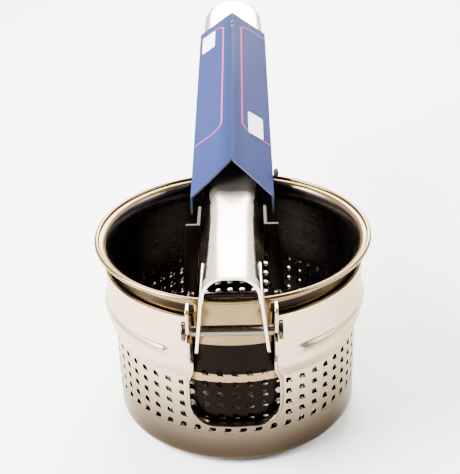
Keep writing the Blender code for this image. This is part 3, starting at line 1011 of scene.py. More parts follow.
    def notch_path(self) -> list[tuple[Vector, Vector]]:
        """Points along the notch from its top right to its top left, with the way into the sheet at each.

        Returns:
            (x, z) points and sideways directions, in millimetres.
        """
        neck, wide, low, corner = self.notch_sizes(0.0)
        right: Outline = [(neck, z) for z in (self.top - 0.6, 55.0, 48.0, self.crease + self.taper + 2.0)]
        right += [(neck + 0.15, self.crease + self.taper), (neck + 1.0, self.crease + 1.5)]
        right += [(wide - 0.1, self.crease - 1.0), (wide, self.crease - 3.5)]
        right += arc((wide - corner, low + corner), corner, 0, -90, 10)
        points = right + [(0.0, low)] + [(-x, z) for x, z in reversed(right)]
        path = []
        for index, (x, z) in enumerate(points):
            before = points[max(index - 1, 0)]
            after = points[min(index + 1, len(points) - 1)]
            along = Vector((after[0] - before[0], after[1] - before[1])).normalized()
            path.append((Vector((x, z)), Vector((-along.y, along.x))))
        return path

    def build_notch_edge(self) -> None:
        """Sweep the turned-out edge round the notch."""
        # Section as (into the sheet, outward) in millimetres, from the inner corner round the raised lip
        section = [(0.0, -1.0), (0.0, 1.15)] + arc((0.45, 1.15), 0.45, 180, 0, 6)
        section += [(0.95, 0.7), (1.15, 0.35), (1.5, 0.13), (2.1, 0.03), (2.1, -0.4), (0.9, -1.0)]
        bm = bmesh.new()
        loops = []
        for spot, aside in self.notch_path():
            verts = []
            for into, out in section:
                x = spot.x + aside.x * into
                z = spot.y + aside.y * into
                radius = self.radius_at(z) + out
                verts.append(bm.verts.new((x * MM, -math.sqrt(radius * radius - x * x) * MM, z * MM)))
            loops.append([bm.edges.new((a, b)) for a, b in zip(verts, verts[1:] + verts[:1])])
        for first, second in zip(loops, loops[1:]):
            bmesh.ops.bridge_loops(bm, edges=first + second)
        bmesh.ops.holes_fill(bm, edges=loops[0] + loops[-1], sides=0)
        bmesh.ops.recalc_face_normals(bm, faces=bm.faces)
        self.keep(bm, "drum_notch_edge", "frame", "brushed_stainless", crease=50.0)

    def build_ear(self, side: int, name: str) -> None:
        """One hinge ear: a hooked tab with a slot for the pin and a strip that runs down the notch.

        Args:
            side: One for the right ear and minus one for the left.
            name: The side's name.
        """
        hinge, tip = self.hinge, self.ear_tip
        front = hinge.y - self.ear_reach
        hook = arc((self.hook_back, self.ear_top - tip), tip, 0, 90, 4)
        hook += arc((front + tip, self.ear_top - tip), tip, 90, 180, 4)
        slot = [(front, hinge.z + hinge.bore)]
        slot += arc((hinge.y, hinge.z), hinge.bore, 90, -90, 10)
        slot += [(front, hinge.z - hinge.bore)]
        outline = [(-44.6, self.strip_low), (-44.6, self.top - 0.6), (-46.6, self.top - 0.2)]
        outline += [(-50.4, self.top + 1.6), (-51.3, self.top + 3.6)] + hook + slot
        outline += [(front, hinge.z - 5.6), (front + 1.2, hinge.z - 8.0), (-47.9, self.strip_low)]
        bm = plate(
            [(y * MM, z * MM) for y, z in outline], self.neck * MM, (self.neck + self.sheet) * MM, 0.22 * MM
        )
        if side < 0:
            mirrored(bm)
        self.keep(bm, f"drum_ear_{name}", "frame", "brushed_stainless")


@dataclass
class Cup(Assembly):
    """The lift-out cup: pierced tapered wall, flared rim with a rolled bead, flat bottom."""

    holes: Perforation
    rim_radius: float = 49.96
    rim_height: float = 70.5
    bead: float = 0.9
    top_radius: float = 44.9
    flare_start: float = 63.0
    wall_radius: float = 43.2
    crease: float = 36.5
    bottom: float = 3.2
    corner: float = 3.0
    sheet: float = 0.8
    inner_shade_top: float = 69.0
    shaded_height: float = 66.6
    plain_low: float = 50.5
    notch_half: float = 13.0

    def build(self) -> None:
        """Build the cup as one piece."""
        shell = bmesh.new()
        for stations, columns, pierced in self.bands():
            scaled = [(radius * MM, height * MM) for radius, height in stations]
            wall = RolledWall(scaled, columns, pierced, self.holes.radius * MM)
            sheet = wall.flat()
            wall.roll_up(sheet)
            merge(shell, thicken(sheet, self.sheet * MM, radial))
        self.mark_faces(shell)
        merge(shell, spun(self.bead_section(), ROUND))
        self.keep(shell, "cup_wall", "frame", "brushed_stainless", "cup_basket")

    def dress(self, palette: Palette) -> None:
        """Give the cup its steels: drawn steel on the rim and upper band, and dark steel as painted shade
        inside, under the rim and lower down, with a painted highlight ring.
        """
        for piece in self.pieces:
            dress(piece, palette.cup, palette.dull_and_shade, palette.highlight_ring)

    def mark_faces(self, bm: bmesh.types.BMesh) -> None:
        """Number the faces: drawn steel on the rim and upper band, painted shade inside, and painted shade
        with a painted highlight ring low down outside and under the rim beside the notch.

        Args:
            bm: The cup's wall, which is changed.
        """
        bm.normal_update()
        for face in bm.faces:
            centre = face.calc_center_median()
            inner = face.normal.dot(Vector((centre.x, centre.y, 0.0)).normalized()) < -0.25
            # Beside the notch, the outside just under the rim takes painted shade
            hidden = centre.z > self.flare_start * MM and abs(centre.x) > self.notch_half * MM
            if inner or face.normal.z > 0.3:
                face.material_index = 1 if centre.z < self.inner_shade_top * MM else 0
            else:
                low = centre.z < self.plain_low * MM or (hidden and centre.z < self.shaded_height * MM)
                face.material_index = 2 if low else 0

    def radius_at(self, height: float) -> float:
        """The wall's outer radius at a height below the flare, in millimetres."""
        share = max((height - self.crease) / (self.flare_start - self.crease), 0.0)
        return self.wall_radius + (self.top_radius - self.wall_radius) * share

    def flare(self) -> Outline:
        """The flare's outer side from the bead down to the wall, in millimetres.

        Returns:
            The (radius, height) points.
        """
        reach = self.rim_radius - 2 * self.bead - self.top_radius
        rise = self.rim_height - self.bead - self.flare_start
        points = []
        for step in range(13):
            angle = math.radians(90 - 7.5 * step)
            radius = self.top_radius + reach * (1 - math.cos(angle))
            points.append((radius, self.flare_start + rise * math.sin(angle)))
        return points

    def bands(self) -> list[tuple[Outline, int, frozenset[int]]]:
        """The cup's three bands of sheet: flare and plain wall, pierced wall, foot and bottom.

        Returns:
            Each band's stations, number of columns and pierced rows.
        """
        cells = self.holes.edges()
        plain = [self.flare_start - 2.5 * step for step in range(1, 8)] + [cells[0]]
        centre = (self.wall_radius - self.corner, self.bottom + self.corner)
        foot = [(self.wall_radius, cells[-1]), (self.wall_radius, 10.0)] + arc(centre, self.corner, 0, -90, 8)
        foot += [(radius, self.bottom) for radius in (36.0, 27.0, 18.0, 9.0, 0.6)]
        return [
            (self.flare() + [(self.radius_at(z), z) for z in plain], ROUND, frozenset()),
            ([(self.radius_at(z), z) for z in cells], self.holes.columns, frozenset(range(self.holes.rows))),
            (foot, ROUND, frozenset()),
        ]

    def bead_section(self) -> Outline:
        """The rolled bead's closed section, in metres."""
        ring = arc((self.rim_radius - self.bead, self.rim_height), self.bead, 0, 345, 23)
        return [(radius * MM, height * MM) for radius, height in ring]


# The grip's rounded end, which both handles share, as (y, flat half-width, shoulder radius, foot half-width,
# depth, shoulder's last angle)
GRIP_END = (
    (165.0, 9.4, 5.0, 14.6, 10.0, 88.0),
    (178.0, 9.0, 5.0, 14.2, 10.0, 88.0),
    (184.5, 7.6, 4.8, 12.6, 9.6, 88.0),
    (188.2, 5.4, 4.2, 9.8, 8.8, 88.0),
    (189.8, 3.4, 3.6, 7.2, 8.0, 88.0),
)


@dataclass
class HandleShape:
    """Where both handles run, in millimetres."""

    front: float = -57.4
    bend: float = 15.0
    end: float = 189.8
    top_front: float = 84.5
    top_bend: float = 79.5
    rise: float = 8.2
    grip_depth: float = 10.0
    grip_gap: float = 1.5
    lower_start: float = 49.4
    lower_bend: float = 44.0
    lower_front: float = 45.0

    def top(self, y: float) -> float:
        """Height of the upper handle's top at a distance y.

        Args:
            y: The distance in millimetres.

        Returns:
            The height in millimetres.
        """
        straight = self.top_bend + (y - self.bend) * math.tan(math.radians(self.rise))
        share = (y - self.front) / (self.bend - self.front)
        level = self.top_front + (self.top_bend - self.top_front) * share
        ease = min(max((y - self.bend + 5.0) / 10.0, 0.0), 1.0)
        return level + (straight - level) * ease if y < self.bend + 5.0 else straight

    def low(self, y: float) -> float:
        """Height of the lower handle's underside at a distance y.

        Args:
            y: The distance in millimetres.

        Returns:
            The height in millimetres.
        """
        grip = self.top_bend + (y - self.bend) * math.tan(math.radians(self.rise))
        grip -= 2 * self.grip_depth + self.grip_gap
        share = min(max((y - self.lower_start) / self.lower_bend, 0.0), 1.0)
        ease = share * share * (3 - 2 * share)
        return grip * ease + self.lower_front * (1 - ease)


def channel_point(across: float, shape: Sequence[float]) -> Point:
    """A point on a channel's section, from the left foot over the top to the right foot.

    Args:
        across: Share of the way across, from zero to one.
        shape: Flat half-width, shoulder radius, foot half-width, depth and the shoulder's last angle.

    Returns:
        The point as (x, height below the top), in millimetres.
    """
    flat, shoulder, foot, depth, last = shape
    share = abs(across - 0.5) * 2
    side = 1 if across > 0.5 else -1
    if share < 0.25:
        return side * flat * share / 0.25, 0.0
    if share < 0.75:
        angle = math.radians(last * (share - 0.25) / 0.5)
        return side * (flat + shoulder * math.sin(angle)), -shoulder * (1 - math.cos(angle))
    angle = math.radians(last)
    knee = (flat + shoulder * math.sin(angle), -shoulder * (1 - math.cos(angle)))
    step = (share - 0.75) / 0.25
    return side * (knee[0] + (foot - knee[0]) * step), knee[1] + (-depth - knee[1]) * step


@dataclass
class UpperHandle(Assembly):
    """The upper handle: a bent channel with an arched front and two lugs on the hinge pin."""

    hinge: Hinge
    shape: HandleShape
    sheet: float = 1.0
    lug_half: float = 3.6
    lug_reach: float = 7.9
    lug_out: float = 9.8
    lug_lean: float = 0.11
    flank_end: float = 40.0
    flank_front: float = -53.0
    flank_share: float = 0.34
    # Rows as in GRIP_END
    keys: tuple[tuple[float, ...], ...] = (
        (-57.4, 1.8, 7.8, 9.9, 9.5, 86.0),
        (-50.0, 2.2, 7.3, 10.1, 9.2, 82.0),
        (-40.0, 2.8, 6.2, 10.6, 8.6, 74.0),
        (-24.0, 3.4, 5.2, 11.0, 8.0, 66.0),
        (-8.0, 3.4, 5.0, 11.0, 8.0, 66.0),
        (5.0, 3.8, 5.2, 11.2, 8.0, 68.0),
        (15.0, 4.6, 5.2, 11.4, 8.3, 72.0),
        (35.0, 6.8, 5.0, 12.2, 8.8, 82.0),
        (60.0, 9.2, 5.0, 14.2, 10.0, 88.0),
    ) + GRIP_END

    def build(self) -> None:
        """Build the channel and its two lugs."""
        bm = formed_grid(48, 150, self.place)
        thicken(bm, self.sheet * MM, lambda centre, normal: normal.z)
        self.mark_faces(bm)
        self.keep(bm, "upper_handle_channel", "upper_lever", "polished_stainless", "upper_handle")
        for side, name in ((1, "right"), (-1, "left")):
            self.build_lug(side, name)

    def dress(self, palette: Palette) -> None:
        """Give the handle its buffed steel, and its underside and the flanks over the cup the dark steel of
        painted shade.
        """
        for piece in self.pieces:
            dress(piece, palette.handle, palette.dull_and_shade)

    def mark_faces(self, bm: bmesh.types.BMesh) -> None:
        """Number the faces: buffed on the crown, painted shade underneath and on the flanks over the cup.

        Args:
            bm: The channel, which is changed.
        """
        bm.normal_update()
        for face in bm.faces:
            centre = face.calc_center_median() / MM
            section = [between(centre.y, self.keys, column) for column in range(1, 6)]
            drop = self.shape.top(centre.y) - centre.z
            under = face.normal.z < -0.3
            flank = drop > section[1] * self.flank_share and centre.y > self.flank_front
            # Painted shade on the underside and on the flanks over the cup
            face.material_index = 1 if (under or flank) and centre.y < self.flank_end else 0

    def place(self, across: float, along: float) -> Vector:
        """Where a grid point of the channel goes.

        Args:
            across: Share of the way across.
            along: Share of the way along.

        Returns:
            The point in metres.
        """
        y = self.shape.front + (self.shape.end - self.shape.front) * along
        section = [between(y, self.keys, column) for column in range(1, 6)]
        x, drop = channel_point(across, section)
        return Vector((x, y, self.shape.top(y) + drop)) * MM

    def build_lug(self, side: int, name: str) -> None:
        """One lug: a leg from the arch down round the hinge pin.

        Args:
            side: One for the right lug and minus one for the left.
            name: The side's name.
        """
        high = self.shape.top_front - 7.0
        low = self.hinge.z - self.lug_reach + self.lug_half
        outline = [(self.hinge.y - self.lug_half, high), (-36.0, high), (-40.0, high - 1.8)]
        outline += [(-45.0, high - 4.6), (-48.6, high - 8.0), (self.hinge.y + self.lug_half, high - 12.0)]
        outline += arc((self.hinge.y, low), self.lug_half, 0, -180, 12)
        inner = self.lug_out - self.sheet
        bm = plate([(y * MM, z * MM) for y, z in outline], inner * MM, self.lug_out * MM, 0.2 * MM)
        for vert in bm.verts:
            vert.co.x += self.lug_lean * (high * MM - vert.co.z)
        if side < 0:
            mirrored(bm)
        self.keep(bm, f"upper_handle_lug_{name}", "upper_lever", "polished_stainless")


@dataclass
class LowerHandle(Assembly):
    """The lower handle, a channel open at the top, with its saddle and rivets on the drum's back."""

    shape: HandleShape
    sheet: float = 1.0
    saddle_radius: float = 48.7
    saddle_low: float = 42.5
    saddle_high: float = 60.0
    saddle_sweep: float = 24.0
    rivet_angle: float = 19.5
    rivet_inset: float = 4.0
    rivet_radius: float = 2.0
    rivet_height: float = 1.6
    # Rows as in GRIP_END
    keys: tuple[tuple[float, ...], ...] = (
        (49.4, 6.4, 4.0, 12.6, 13.0, 70.0),
        (63.0, 7.4, 4.4, 13.2, 12.0, 76.0),
        (82.0, 9.0, 5.0, 14.4, 10.4, 84.0),
        (94.0, 9.4, 5.0, 14.6, 10.0, 88.0),
    ) + GRIP_END

    def build(self) -> None:
        """Build the channel, the saddle and the rivets."""
        bm = formed_grid(40, 90, self.place)
        thicken(bm, self.sheet * MM, lambda centre, normal: -normal.z)
        self.keep(bm, "lower_handle_channel", "frame", "polished_stainless", "lower_handle")
        self.build_saddle()
        heights = (self.saddle_low + self.rivet_inset, self.saddle_high - self.rivet_inset)
        spots = [(angle, height) for angle in (-self.rivet_angle, self.rivet_angle) for height in heights]
        for number, (angle, height) in enumerate(spots, 1):
            self.build_rivet(angle, height, number)

    def dress(self, palette: Palette) -> None:
        """Give the handle buffed steel and the saddle and rivets their own.

        Args:
            palette: The ricer's finishes.
        """
        dress(self.pieces[0], palette.handle)
        dress(self.pieces[1], palette.drum)
        for piece in self.pieces[2:]:
            dress(piece, palette.pin)

    def place(self, across: float, along: float) -> Vector:
        """Where a grid point of the channel goes.

        Args:
            across: Share of the way across.
            along: Share of the way along.

        Returns:
            The point in metres.
        """
        y = self.shape.lower_start + (self.shape.end - self.shape.lower_start) * along
        section = [between(y, self.keys, column) for column in range(1, 6)]
        x, drop = channel_point(across, section)
        return Vector((x, y, self.shape.low(y) - drop)) * MM

    def build_rivet(self, angle: float, height: float, number: int) -> None:
        """One domed rivet head on the saddle.

        Args:
            angle: The turn from the drum's back in degrees.
            height: The height in millimetres.
            number: The rivet's number.
        """
        place = Matrix.Rotation(math.radians(angle), 4, "Z")
        place @= Matrix.Translation((0, self.saddle_radius * MM, height * MM))
        place @= Matrix.Rotation(math.radians(-90), 4, "X")
        bm = dome(self.rivet_radius * MM, self.rivet_height * MM, place)
        node = f"saddle_rivet_{number}"
        self.keep(bm, f"saddle_rivet_head_{number}", "frame", "brushed_stainless", node)

    def build_saddle(self) -> None:
        """Bend the saddle plate round the drum's back."""
        sweep = math.radians(self.saddle_sweep)

        def place(across: float, along: float) -> Vector:
            """Where a grid point of the saddle goes, with the plate's corners rounded.

            Args:
                across: Share of the way across.
                along: Share of the way up.

            Returns:
                The point in metres.
            """
            side = 2 * across - 1
            level = 2 * along - 1
            narrow = 1 - 0.10 * max(abs(level) - 0.7, 0.0) ** 2 / 0.09
            angle = sweep * side * narrow
            height = self.saddle_low + (self.saddle_high - self.saddle_low) * along
            radius = self.saddle_radius
            return Vector((radius * math.sin(angle), radius * math.cos(angle), height)) * MM

        bm = formed_grid(36, 16, place)
        thicken(bm, self.sheet * MM, radial)
        self.keep(bm, "saddle_plate", "frame", "brushed_stainless", "handle_saddle")


@dataclass
class HingePin(Assembly):
    """The hinge pin across the drum's ears, with a headed cap at each end."""

    hinge: Hinge
    ear_outer: float = 14.6
    cap: float = 1.4
    gap: float = 0.3

    def build(self) -> None:
        """Build the pin and its caps."""
        centre = Vector((0.0, self.hinge.y, self.hinge.z)) * MM
        half = self.ear_outer + self.gap + self.cap
        bm = turned(self.hinge.pin_radius * MM, 2 * half * MM, centre, 0.3 * MM)
        self.keep(bm, "hinge_pin_rod", "frame", "polished_stainless", "hinge_pin")
        for side, name in ((-1, "left"), (1, "right")):
            middle = centre + Vector((side * (half - self.cap / 2) * MM, 0, 0))
            bm = turned((self.hinge.pin_radius + self.cap) * MM, self.cap * MM, middle, 0.4 * MM)
            node = f"hinge_pin_cap_{name}"
            self.keep(bm, f"hinge_pin_head_{name}", "frame", "polished_stainless", node)

    def dress(self, palette: Palette) -> None:
        """Give the pin its turned steel, and its heads the duller steel of upset ends.

        Args:
            palette: The ricer's finishes.
        """
        dress(self.pieces[0], palette.pin)
        for piece in self.pieces[1:]:
            dress(piece, palette.dull_and_shade)


@dataclass
class Press(Assembly):
    """The press: two hangers on the handle, a pivot pin, a U yoke and the dished press plate."""

    pivot_z: float = 43.0
    pivot_radius: float = 1.75
    hanger_top: float = 77.0
    hanger_top_x: float = 11.3
    hanger_low_x: float = 14.2
    hanger_half: float = 7.5
    flange: float = 4.0
    flange_low: float = 50.0
    strap_half: float = 6.0
    hanger_round: float = 5.5
    yoke_x: float = 12.8
    yoke_bend: float = 2.4
    yoke_round: float = 5.6
    strap_sheet: float = 1.1
    plate_radius: float = 38.0
    plate_z: float = 15.0
    plate_rim: float = 3.0
    plate_bend: float = 1.6
    ring_radius: float = 24.0
    ring_half: float = 2.0
    ring_rise: float = 0.5
    sheet: float = 1.0
    gap: float = 0.3
    washer_radius: float = 3.35
    washer_sheet: float = 1.0
    washer_out: float = 1.5
    pin_out: float = 2.4
    rivet_radius: float = 2.2
    rivet_height: float = 1.1

    def build(self) -> None:
        """Build the hangers, the washers, the pin, the yoke, the plate and the rivets."""
        centre = Vector((0, 0, self.pivot_z * MM))
        outer = self.hanger_low_x + self.strap_sheet
        for side, name in ((1, "right"), (-1, "left")):
            self.build_hanger(side, name)
            middle = centre + Vector((side * (outer + self.washer_out) * MM, 0, 0))
            bm = turned(self.washer_radius * MM, self.washer_sheet * MM, middle, 0.2 * MM)
            node = f"pivot_washer_{name}"
            self.keep(bm, f"pivot_washer_disc_{name}", "upper_lever", "polished_stainless", node)
        bm = turned(self.pivot_radius * MM, 2 * (outer + self.pin_out) * MM, centre, 0.3 * MM)
        self.keep(bm, "press_pivot_rod", "upper_lever", "polished_stainless", "press_pivot_pin")
        self.build_yoke()
        self.build_plate()
        base = self.plate_z + self.sheet + self.gap + self.strap_sheet + self.gap
        for x, name in ((-self.strap_half, "left"), (self.strap_half, "right")):
            place = Matrix.Translation((x * MM, 0, base * MM))
            bm = dome(self.rivet_radius * MM, self.rivet_height * MM, place)
            self.keep(bm, f"yoke_rivet_head_{name}", "press", "brushed_stainless", f"yoke_rivet_{name}")

    def dress(self, palette: Palette) -> None:
        """Give the hangers dark brown steel with painted shade on their tops, the yoke and plate the dark
        annealed steel, and the pins turned steel.

        Args:
            palette: The ricer's finishes.
        """
        for piece in self.pieces:
            if "hanger" in piece.name:
                dress(piece, palette.dark_brown, palette.scale)
            elif "yoke_strap" in piece.name or "dish" in piece.name:
                dress(piece, palette.dull_and_shade)
            else:
                dress(piece, palette.pin)

    def build_hanger(self, side: int, name: str) -> None:
        """One hanger plate, leaning outwards to its round lower end.

        Args:
            side: One for the right hanger and minus one for the left.
            name: The side's name.
        """
        half = self.hanger_half
        outline = [(-half, self.hanger_top), (half, self.hanger_top), (half, self.hanger_top - 12)]
        outline += arc((0.0, self.pivot_z), self.hanger_round, 0, -180, 14)
        outline += [(-half, self.hanger_top - 12)]
        low = self.hanger_top_x * MM
        bm = plate([(y * MM, z * MM) for y, z in outline], low, low + self.strap_sheet * MM, 0.2 * MM)
        back = self.strap_sheet - half
        strip = [(-half, self.hanger_top), (back, self.hanger_top)]
        strip += [(back, self.flange_low), (-half, self.flange_low)]
        root = low + 0.5 * self.strap_sheet * MM
        tip = low + (self.strap_sheet + self.flange) * MM
        merge(bm, plate([(y * MM, z * MM) for y, z in strip], root, tip, 0.2 * MM))
        slope = (self.hanger_low_x - self.hanger_top_x) / (self.hanger_top - self.pivot_z)
        for vert in bm.verts:
            vert.co.x += slope * (self.hanger_top * MM - vert.co.z)
        if side < 0:
            mirrored(bm)
        bm.normal_update()
        # Faces turned up take the second finish, painted shade under the handle
        for face in bm.faces:
            face.material_index = 1 if face.normal.z > 0.35 else 0
        node = f"press_hanger_{name}"
        self.keep(bm, f"press_hanger_plate_{name}", "upper_lever", "brushed_stainless", node)

    def build_yoke(self) -> None:
        """Bend the U strap from one strip."""
        base = self.plate_z + self.sheet + self.gap
        bend = self.yoke_bend
        top = self.pivot_z + self.strap_half - 0.5
        side = [(self.yoke_x, top - 2.0 * step) for step in range(15)]
        side = [point for point in side if point[1] > base + bend]
        side += arc((self.yoke_x - bend, base + bend), bend, 0, -90, 6)
        line = side + [(-x, z) for x, z in reversed(side)]

        def place(across: float, along: float) -> Vector:
            """Where a grid point of the strap goes, with its two upper ends rounded.

            Args:
                across: Share of the way along the bent line.
                along: Share of the way over the strap's width.

            Returns:
                The point in metres.
            """
            x, z = line[round(across * (len(line) - 1))]
            over = max(z - self.pivot_z, 0.0)
            half = self.strap_half if over <= 0 else math.sqrt(max(self.yoke_round ** 2 - over ** 2, 0.3))
            return Vector((x, (2 * along - 1) * half, z)) * MM

        bm = formed_grid(len(line) - 1, 6, place)
        thicken(bm, self.strap_sheet * MM, lambda centre, normal: centre.x * normal.x - normal.z * 0.001)
        self.keep(bm, "press_yoke_strap", "press", "brushed_stainless", "press_yoke")

    def build_plate(self) -> None:
        """Spin the press plate with its upturned rim and one pressed stiffening ring."""
        bend, low, rim = self.plate_bend, self.plate_z, self.plate_z + self.plate_rim
        top = low + self.sheet
        inner, outer = self.ring_radius - self.ring_half, self.ring_radius + self.ring_half
        centre = (self.plate_radius - bend, low + bend)
        under = [(0.0, low), (inner, low), (self.ring_radius, low + self.ring_rise), (outer, low)]
        under += arc(centre, bend, -90, 0, 6) + [(self.plate_radius, rim - 0.3)]
        over = [(self.plate_radius - 0.3, rim), (self.plate_radius - 0.7, rim)]
        over += [(self.plate_radius - self.sheet, rim - 0.3)] + arc(centre, bend - self.sheet, 0, -90, 4)
        over += [(outer, top), (self.ring_radius, top + self.ring_rise), (inner, top), (0.0, top)]
        bm = spun([(radius * MM, height * MM) for radius, height in under + over], 96)
        self.keep(bm, "press_dish", "press", "brushed_stainless", "press_plate")


@dataclass
class Sleeve(Assembly):
    """The printed card folded over the grip, with blank labels, two studs and a nylon tie."""

    shape: HandleShape
    start: float = 22.0
    end: float = 155.0
    ridge: float = 9.0
    shoulder: float = -2.0
    nose: float = 8.0
    hem: float = -8.6
    half: float = 15.6
    card: float = 0.6
    fold: float = 0.2
    left_label_out: float = 11.2
    right_label_out: float = 9.6
    label_wide: float = 7.2
    label_long: float = 17.0
    left_label_y: float = 139.0
    right_label_y: float = 58.0
    stud_y: float = 139.0
    stud_pitch: float = 5.0
    tie_y: float = 30.0

    def build(self) -> None:
        """Build the card and what is on it."""
        bm = formed_grid(56, 60, self.place)
        thicken(bm, self.card * MM, lambda centre, normal: normal.z)
        self.mark_faces(bm)
        self.keep(bm, "card_sleeve_fold", "sleeve", "printed_card", "card_sleeve", crease=40.0)
        self.build_label("left", -self.left_label_out, self.left_label_y)
        self.build_label("right", self.right_label_out, self.right_label_y)
        for y, name in ((self.stud_y, "near"), (self.stud_y + self.stud_pitch, "far")):
            self.build_stud(y, name)
        self.build_tie()

    def dress(self, palette: Palette) -> None:
        """Give the card its print, its back and its cut edge, and dress the labels, studs and tie.

        Args:
            palette: The ricer's finishes.
        """
        card, *labels, near, far, tie = self.pieces
        dress(card, palette.card, palette.back, palette.core)
        for label in labels:
            dress(label, palette.label)
        dress(near, palette.pin)
        dress(far, palette.pin)
        dress(tie, palette.tie)

    def height(self, x: float) -> float:
        """The slope's height over the handle's top at a distance x from the ridge, the fold rounded.

        Args:
            x: The distance in millimetres.

        Returns:
            The height in millimetres.
        """
        ease = 0.6 * self.fold
        share = (math.hypot(x, self.fold) - ease) / (math.hypot(self.half, self.fold) - ease)
        return self.ridge - (self.ridge - self.shoulder) * share

    def place(self, across: float, along: float) -> Vector:
        """Where a grid point of the card goes, with a slight bow in its slopes and its hem.

        Args:
            across: Share of the way across.
            along: Share of the way along.

        Returns:
            The point in metres.
        """
        share = abs(across - 0.5) * 2
        side = 1 if across > 0.5 else -1
        start = self.start - self.nose * min(share / 0.75, 1.0)
        y = start + (self.end - start) * along
        wave = 0.25 * math.sin(along * 9.0 + side) * (1 - along * 0.4)
        if share < 0.75:
            step = share / 0.75
            x = self.half * step
            z = self.height(x) + wave * math.sin(math.pi * step)
        else:
            step = (share - 0.75) / 0.25
            x = self.half - 0.35 * math.sin(math.pi * step / 2) * abs(math.sin(along * 6.0))
            z = self.shoulder + (self.hem - self.shoulder) * step
        return Vector((side * x, y, self.base(y) + z)) * MM

    def base(self, y: float) -> float:
        """Height of the handle's straight top at a distance y, in millimetres."""
        return self.shape.top_bend + (y - self.shape.bend) * math.tan(math.radians(self.shape.rise))

    def mark_faces(self, bm: bmesh.types.BMesh) -> None:
        """Number the card's faces: print outside, the back inside in painted shade, bare fibre on the cut
        edges.

        Args:
            bm: The card, which is changed.
        """
        bm.normal_update()
        for face in bm.faces:
            centre = face.calc_center_median()
            small = min(edge.calc_length() for edge in face.edges) < self.card * MM * 1.01
            across = abs(centre.x) / MM
            outer = self.base(centre.y / MM) * MM
            side = across > self.half - 0.5 and face.normal.x * centre.x > 0.2 * across * MM
            hem = face.normal.z < -0.9 and centre.z < outer + (self.hem + 0.5) * MM
            if small and (hem or abs(face.normal.y) > 0.9):
                face.material_index = 2
            else:
                face.material_index = 0 if side or face.normal.z > 0.1 else 1

    def on_slope(self, x: float, y: float, lift: float) -> Matrix:
        """A frame on the card's slope, Z out of the card.

        Args:
            x: Distance across, with its side's sign.
            y: Distance along.
            lift: Height over the card.

        Returns:
            The frame as a matrix.
        """
        slope = math.atan2(self.ridge - self.shoulder, self.half)
        side = 1 if x > 0 else (-1 if x < 0 else 0)
        z = self.base(y) + self.height(abs(x)) + lift
        turn = Matrix.Rotation(math.radians(self.shape.rise), 4, "X") @ Matrix.Rotation(side * slope, 4, "Y")
        return Matrix.Translation(Vector((x, y, z)) * MM) @ turn

    def build_label(self, name: str, x: float, y: float) -> None:
        """A blank label with rounded corners on one slope.

        Args:
            name: The side's name.
            x: Distance across, positive on the right slope.
            y: Distance along.
        """
        bm = bmesh.new()
        bmesh.ops.create_grid(bm, x_segments=1, y_segments=1, size=0.5)
        bmesh.ops.scale(bm, vec=(self.label_wide * MM, self.label_long * MM, 1), verts=bm.verts)
        bmesh.ops.bevel(
            bm, geom=bm.verts[:], offset=0.8 * MM, segments=4, profile=0.5, affect="VERTICES", material=-1
        )
        thicken(bm, 0.15 * MM, lambda centre, normal: normal.z)
        bmesh.ops.transform(bm, matrix=self.on_slope(x, y, 0.35), verts=bm.verts)
        self.keep(bm, f"label_blank_{name}", "sleeve", "white_label", f"label_{name}")

    def build_stud(self, y: float, name: str) -> None:
        """A small bright stud on the ridge.

        Args:
            y: Distance along.
            name: The stud's name.
        """
        place = Matrix.Translation(Vector((0.0, y, self.base(y) + self.ridge + 0.1)) * MM)
        bm = dome(0.65 * MM, 0.45 * MM, place)
        self.keep(bm, f"stud_head_{name}", "sleeve", "polished_stainless", f"sleeve_stud_{name}")

    def build_tie(self) -> None:
        """The small dark tie on the right shoulder near the card's front."""
        bm = bmesh.new()
        bmesh.ops.create_uvsphere(bm, u_segments=20, v_segments=12, radius=1.0)
        bmesh.ops.scale(bm, vec=(1.0 * MM, 1.5 * MM, 1.9 * MM), verts=bm.verts)
        centre = Vector((self.half + 1.2, self.tie_y, self.base(self.tie_y) + self.shoulder)) * MM
        bmesh.ops.translate(bm, vec=centre, verts=bm.verts)
        self.keep(bm, "sleeve_tie_knot", "sleeve", "printed_card", "sleeve_tie")


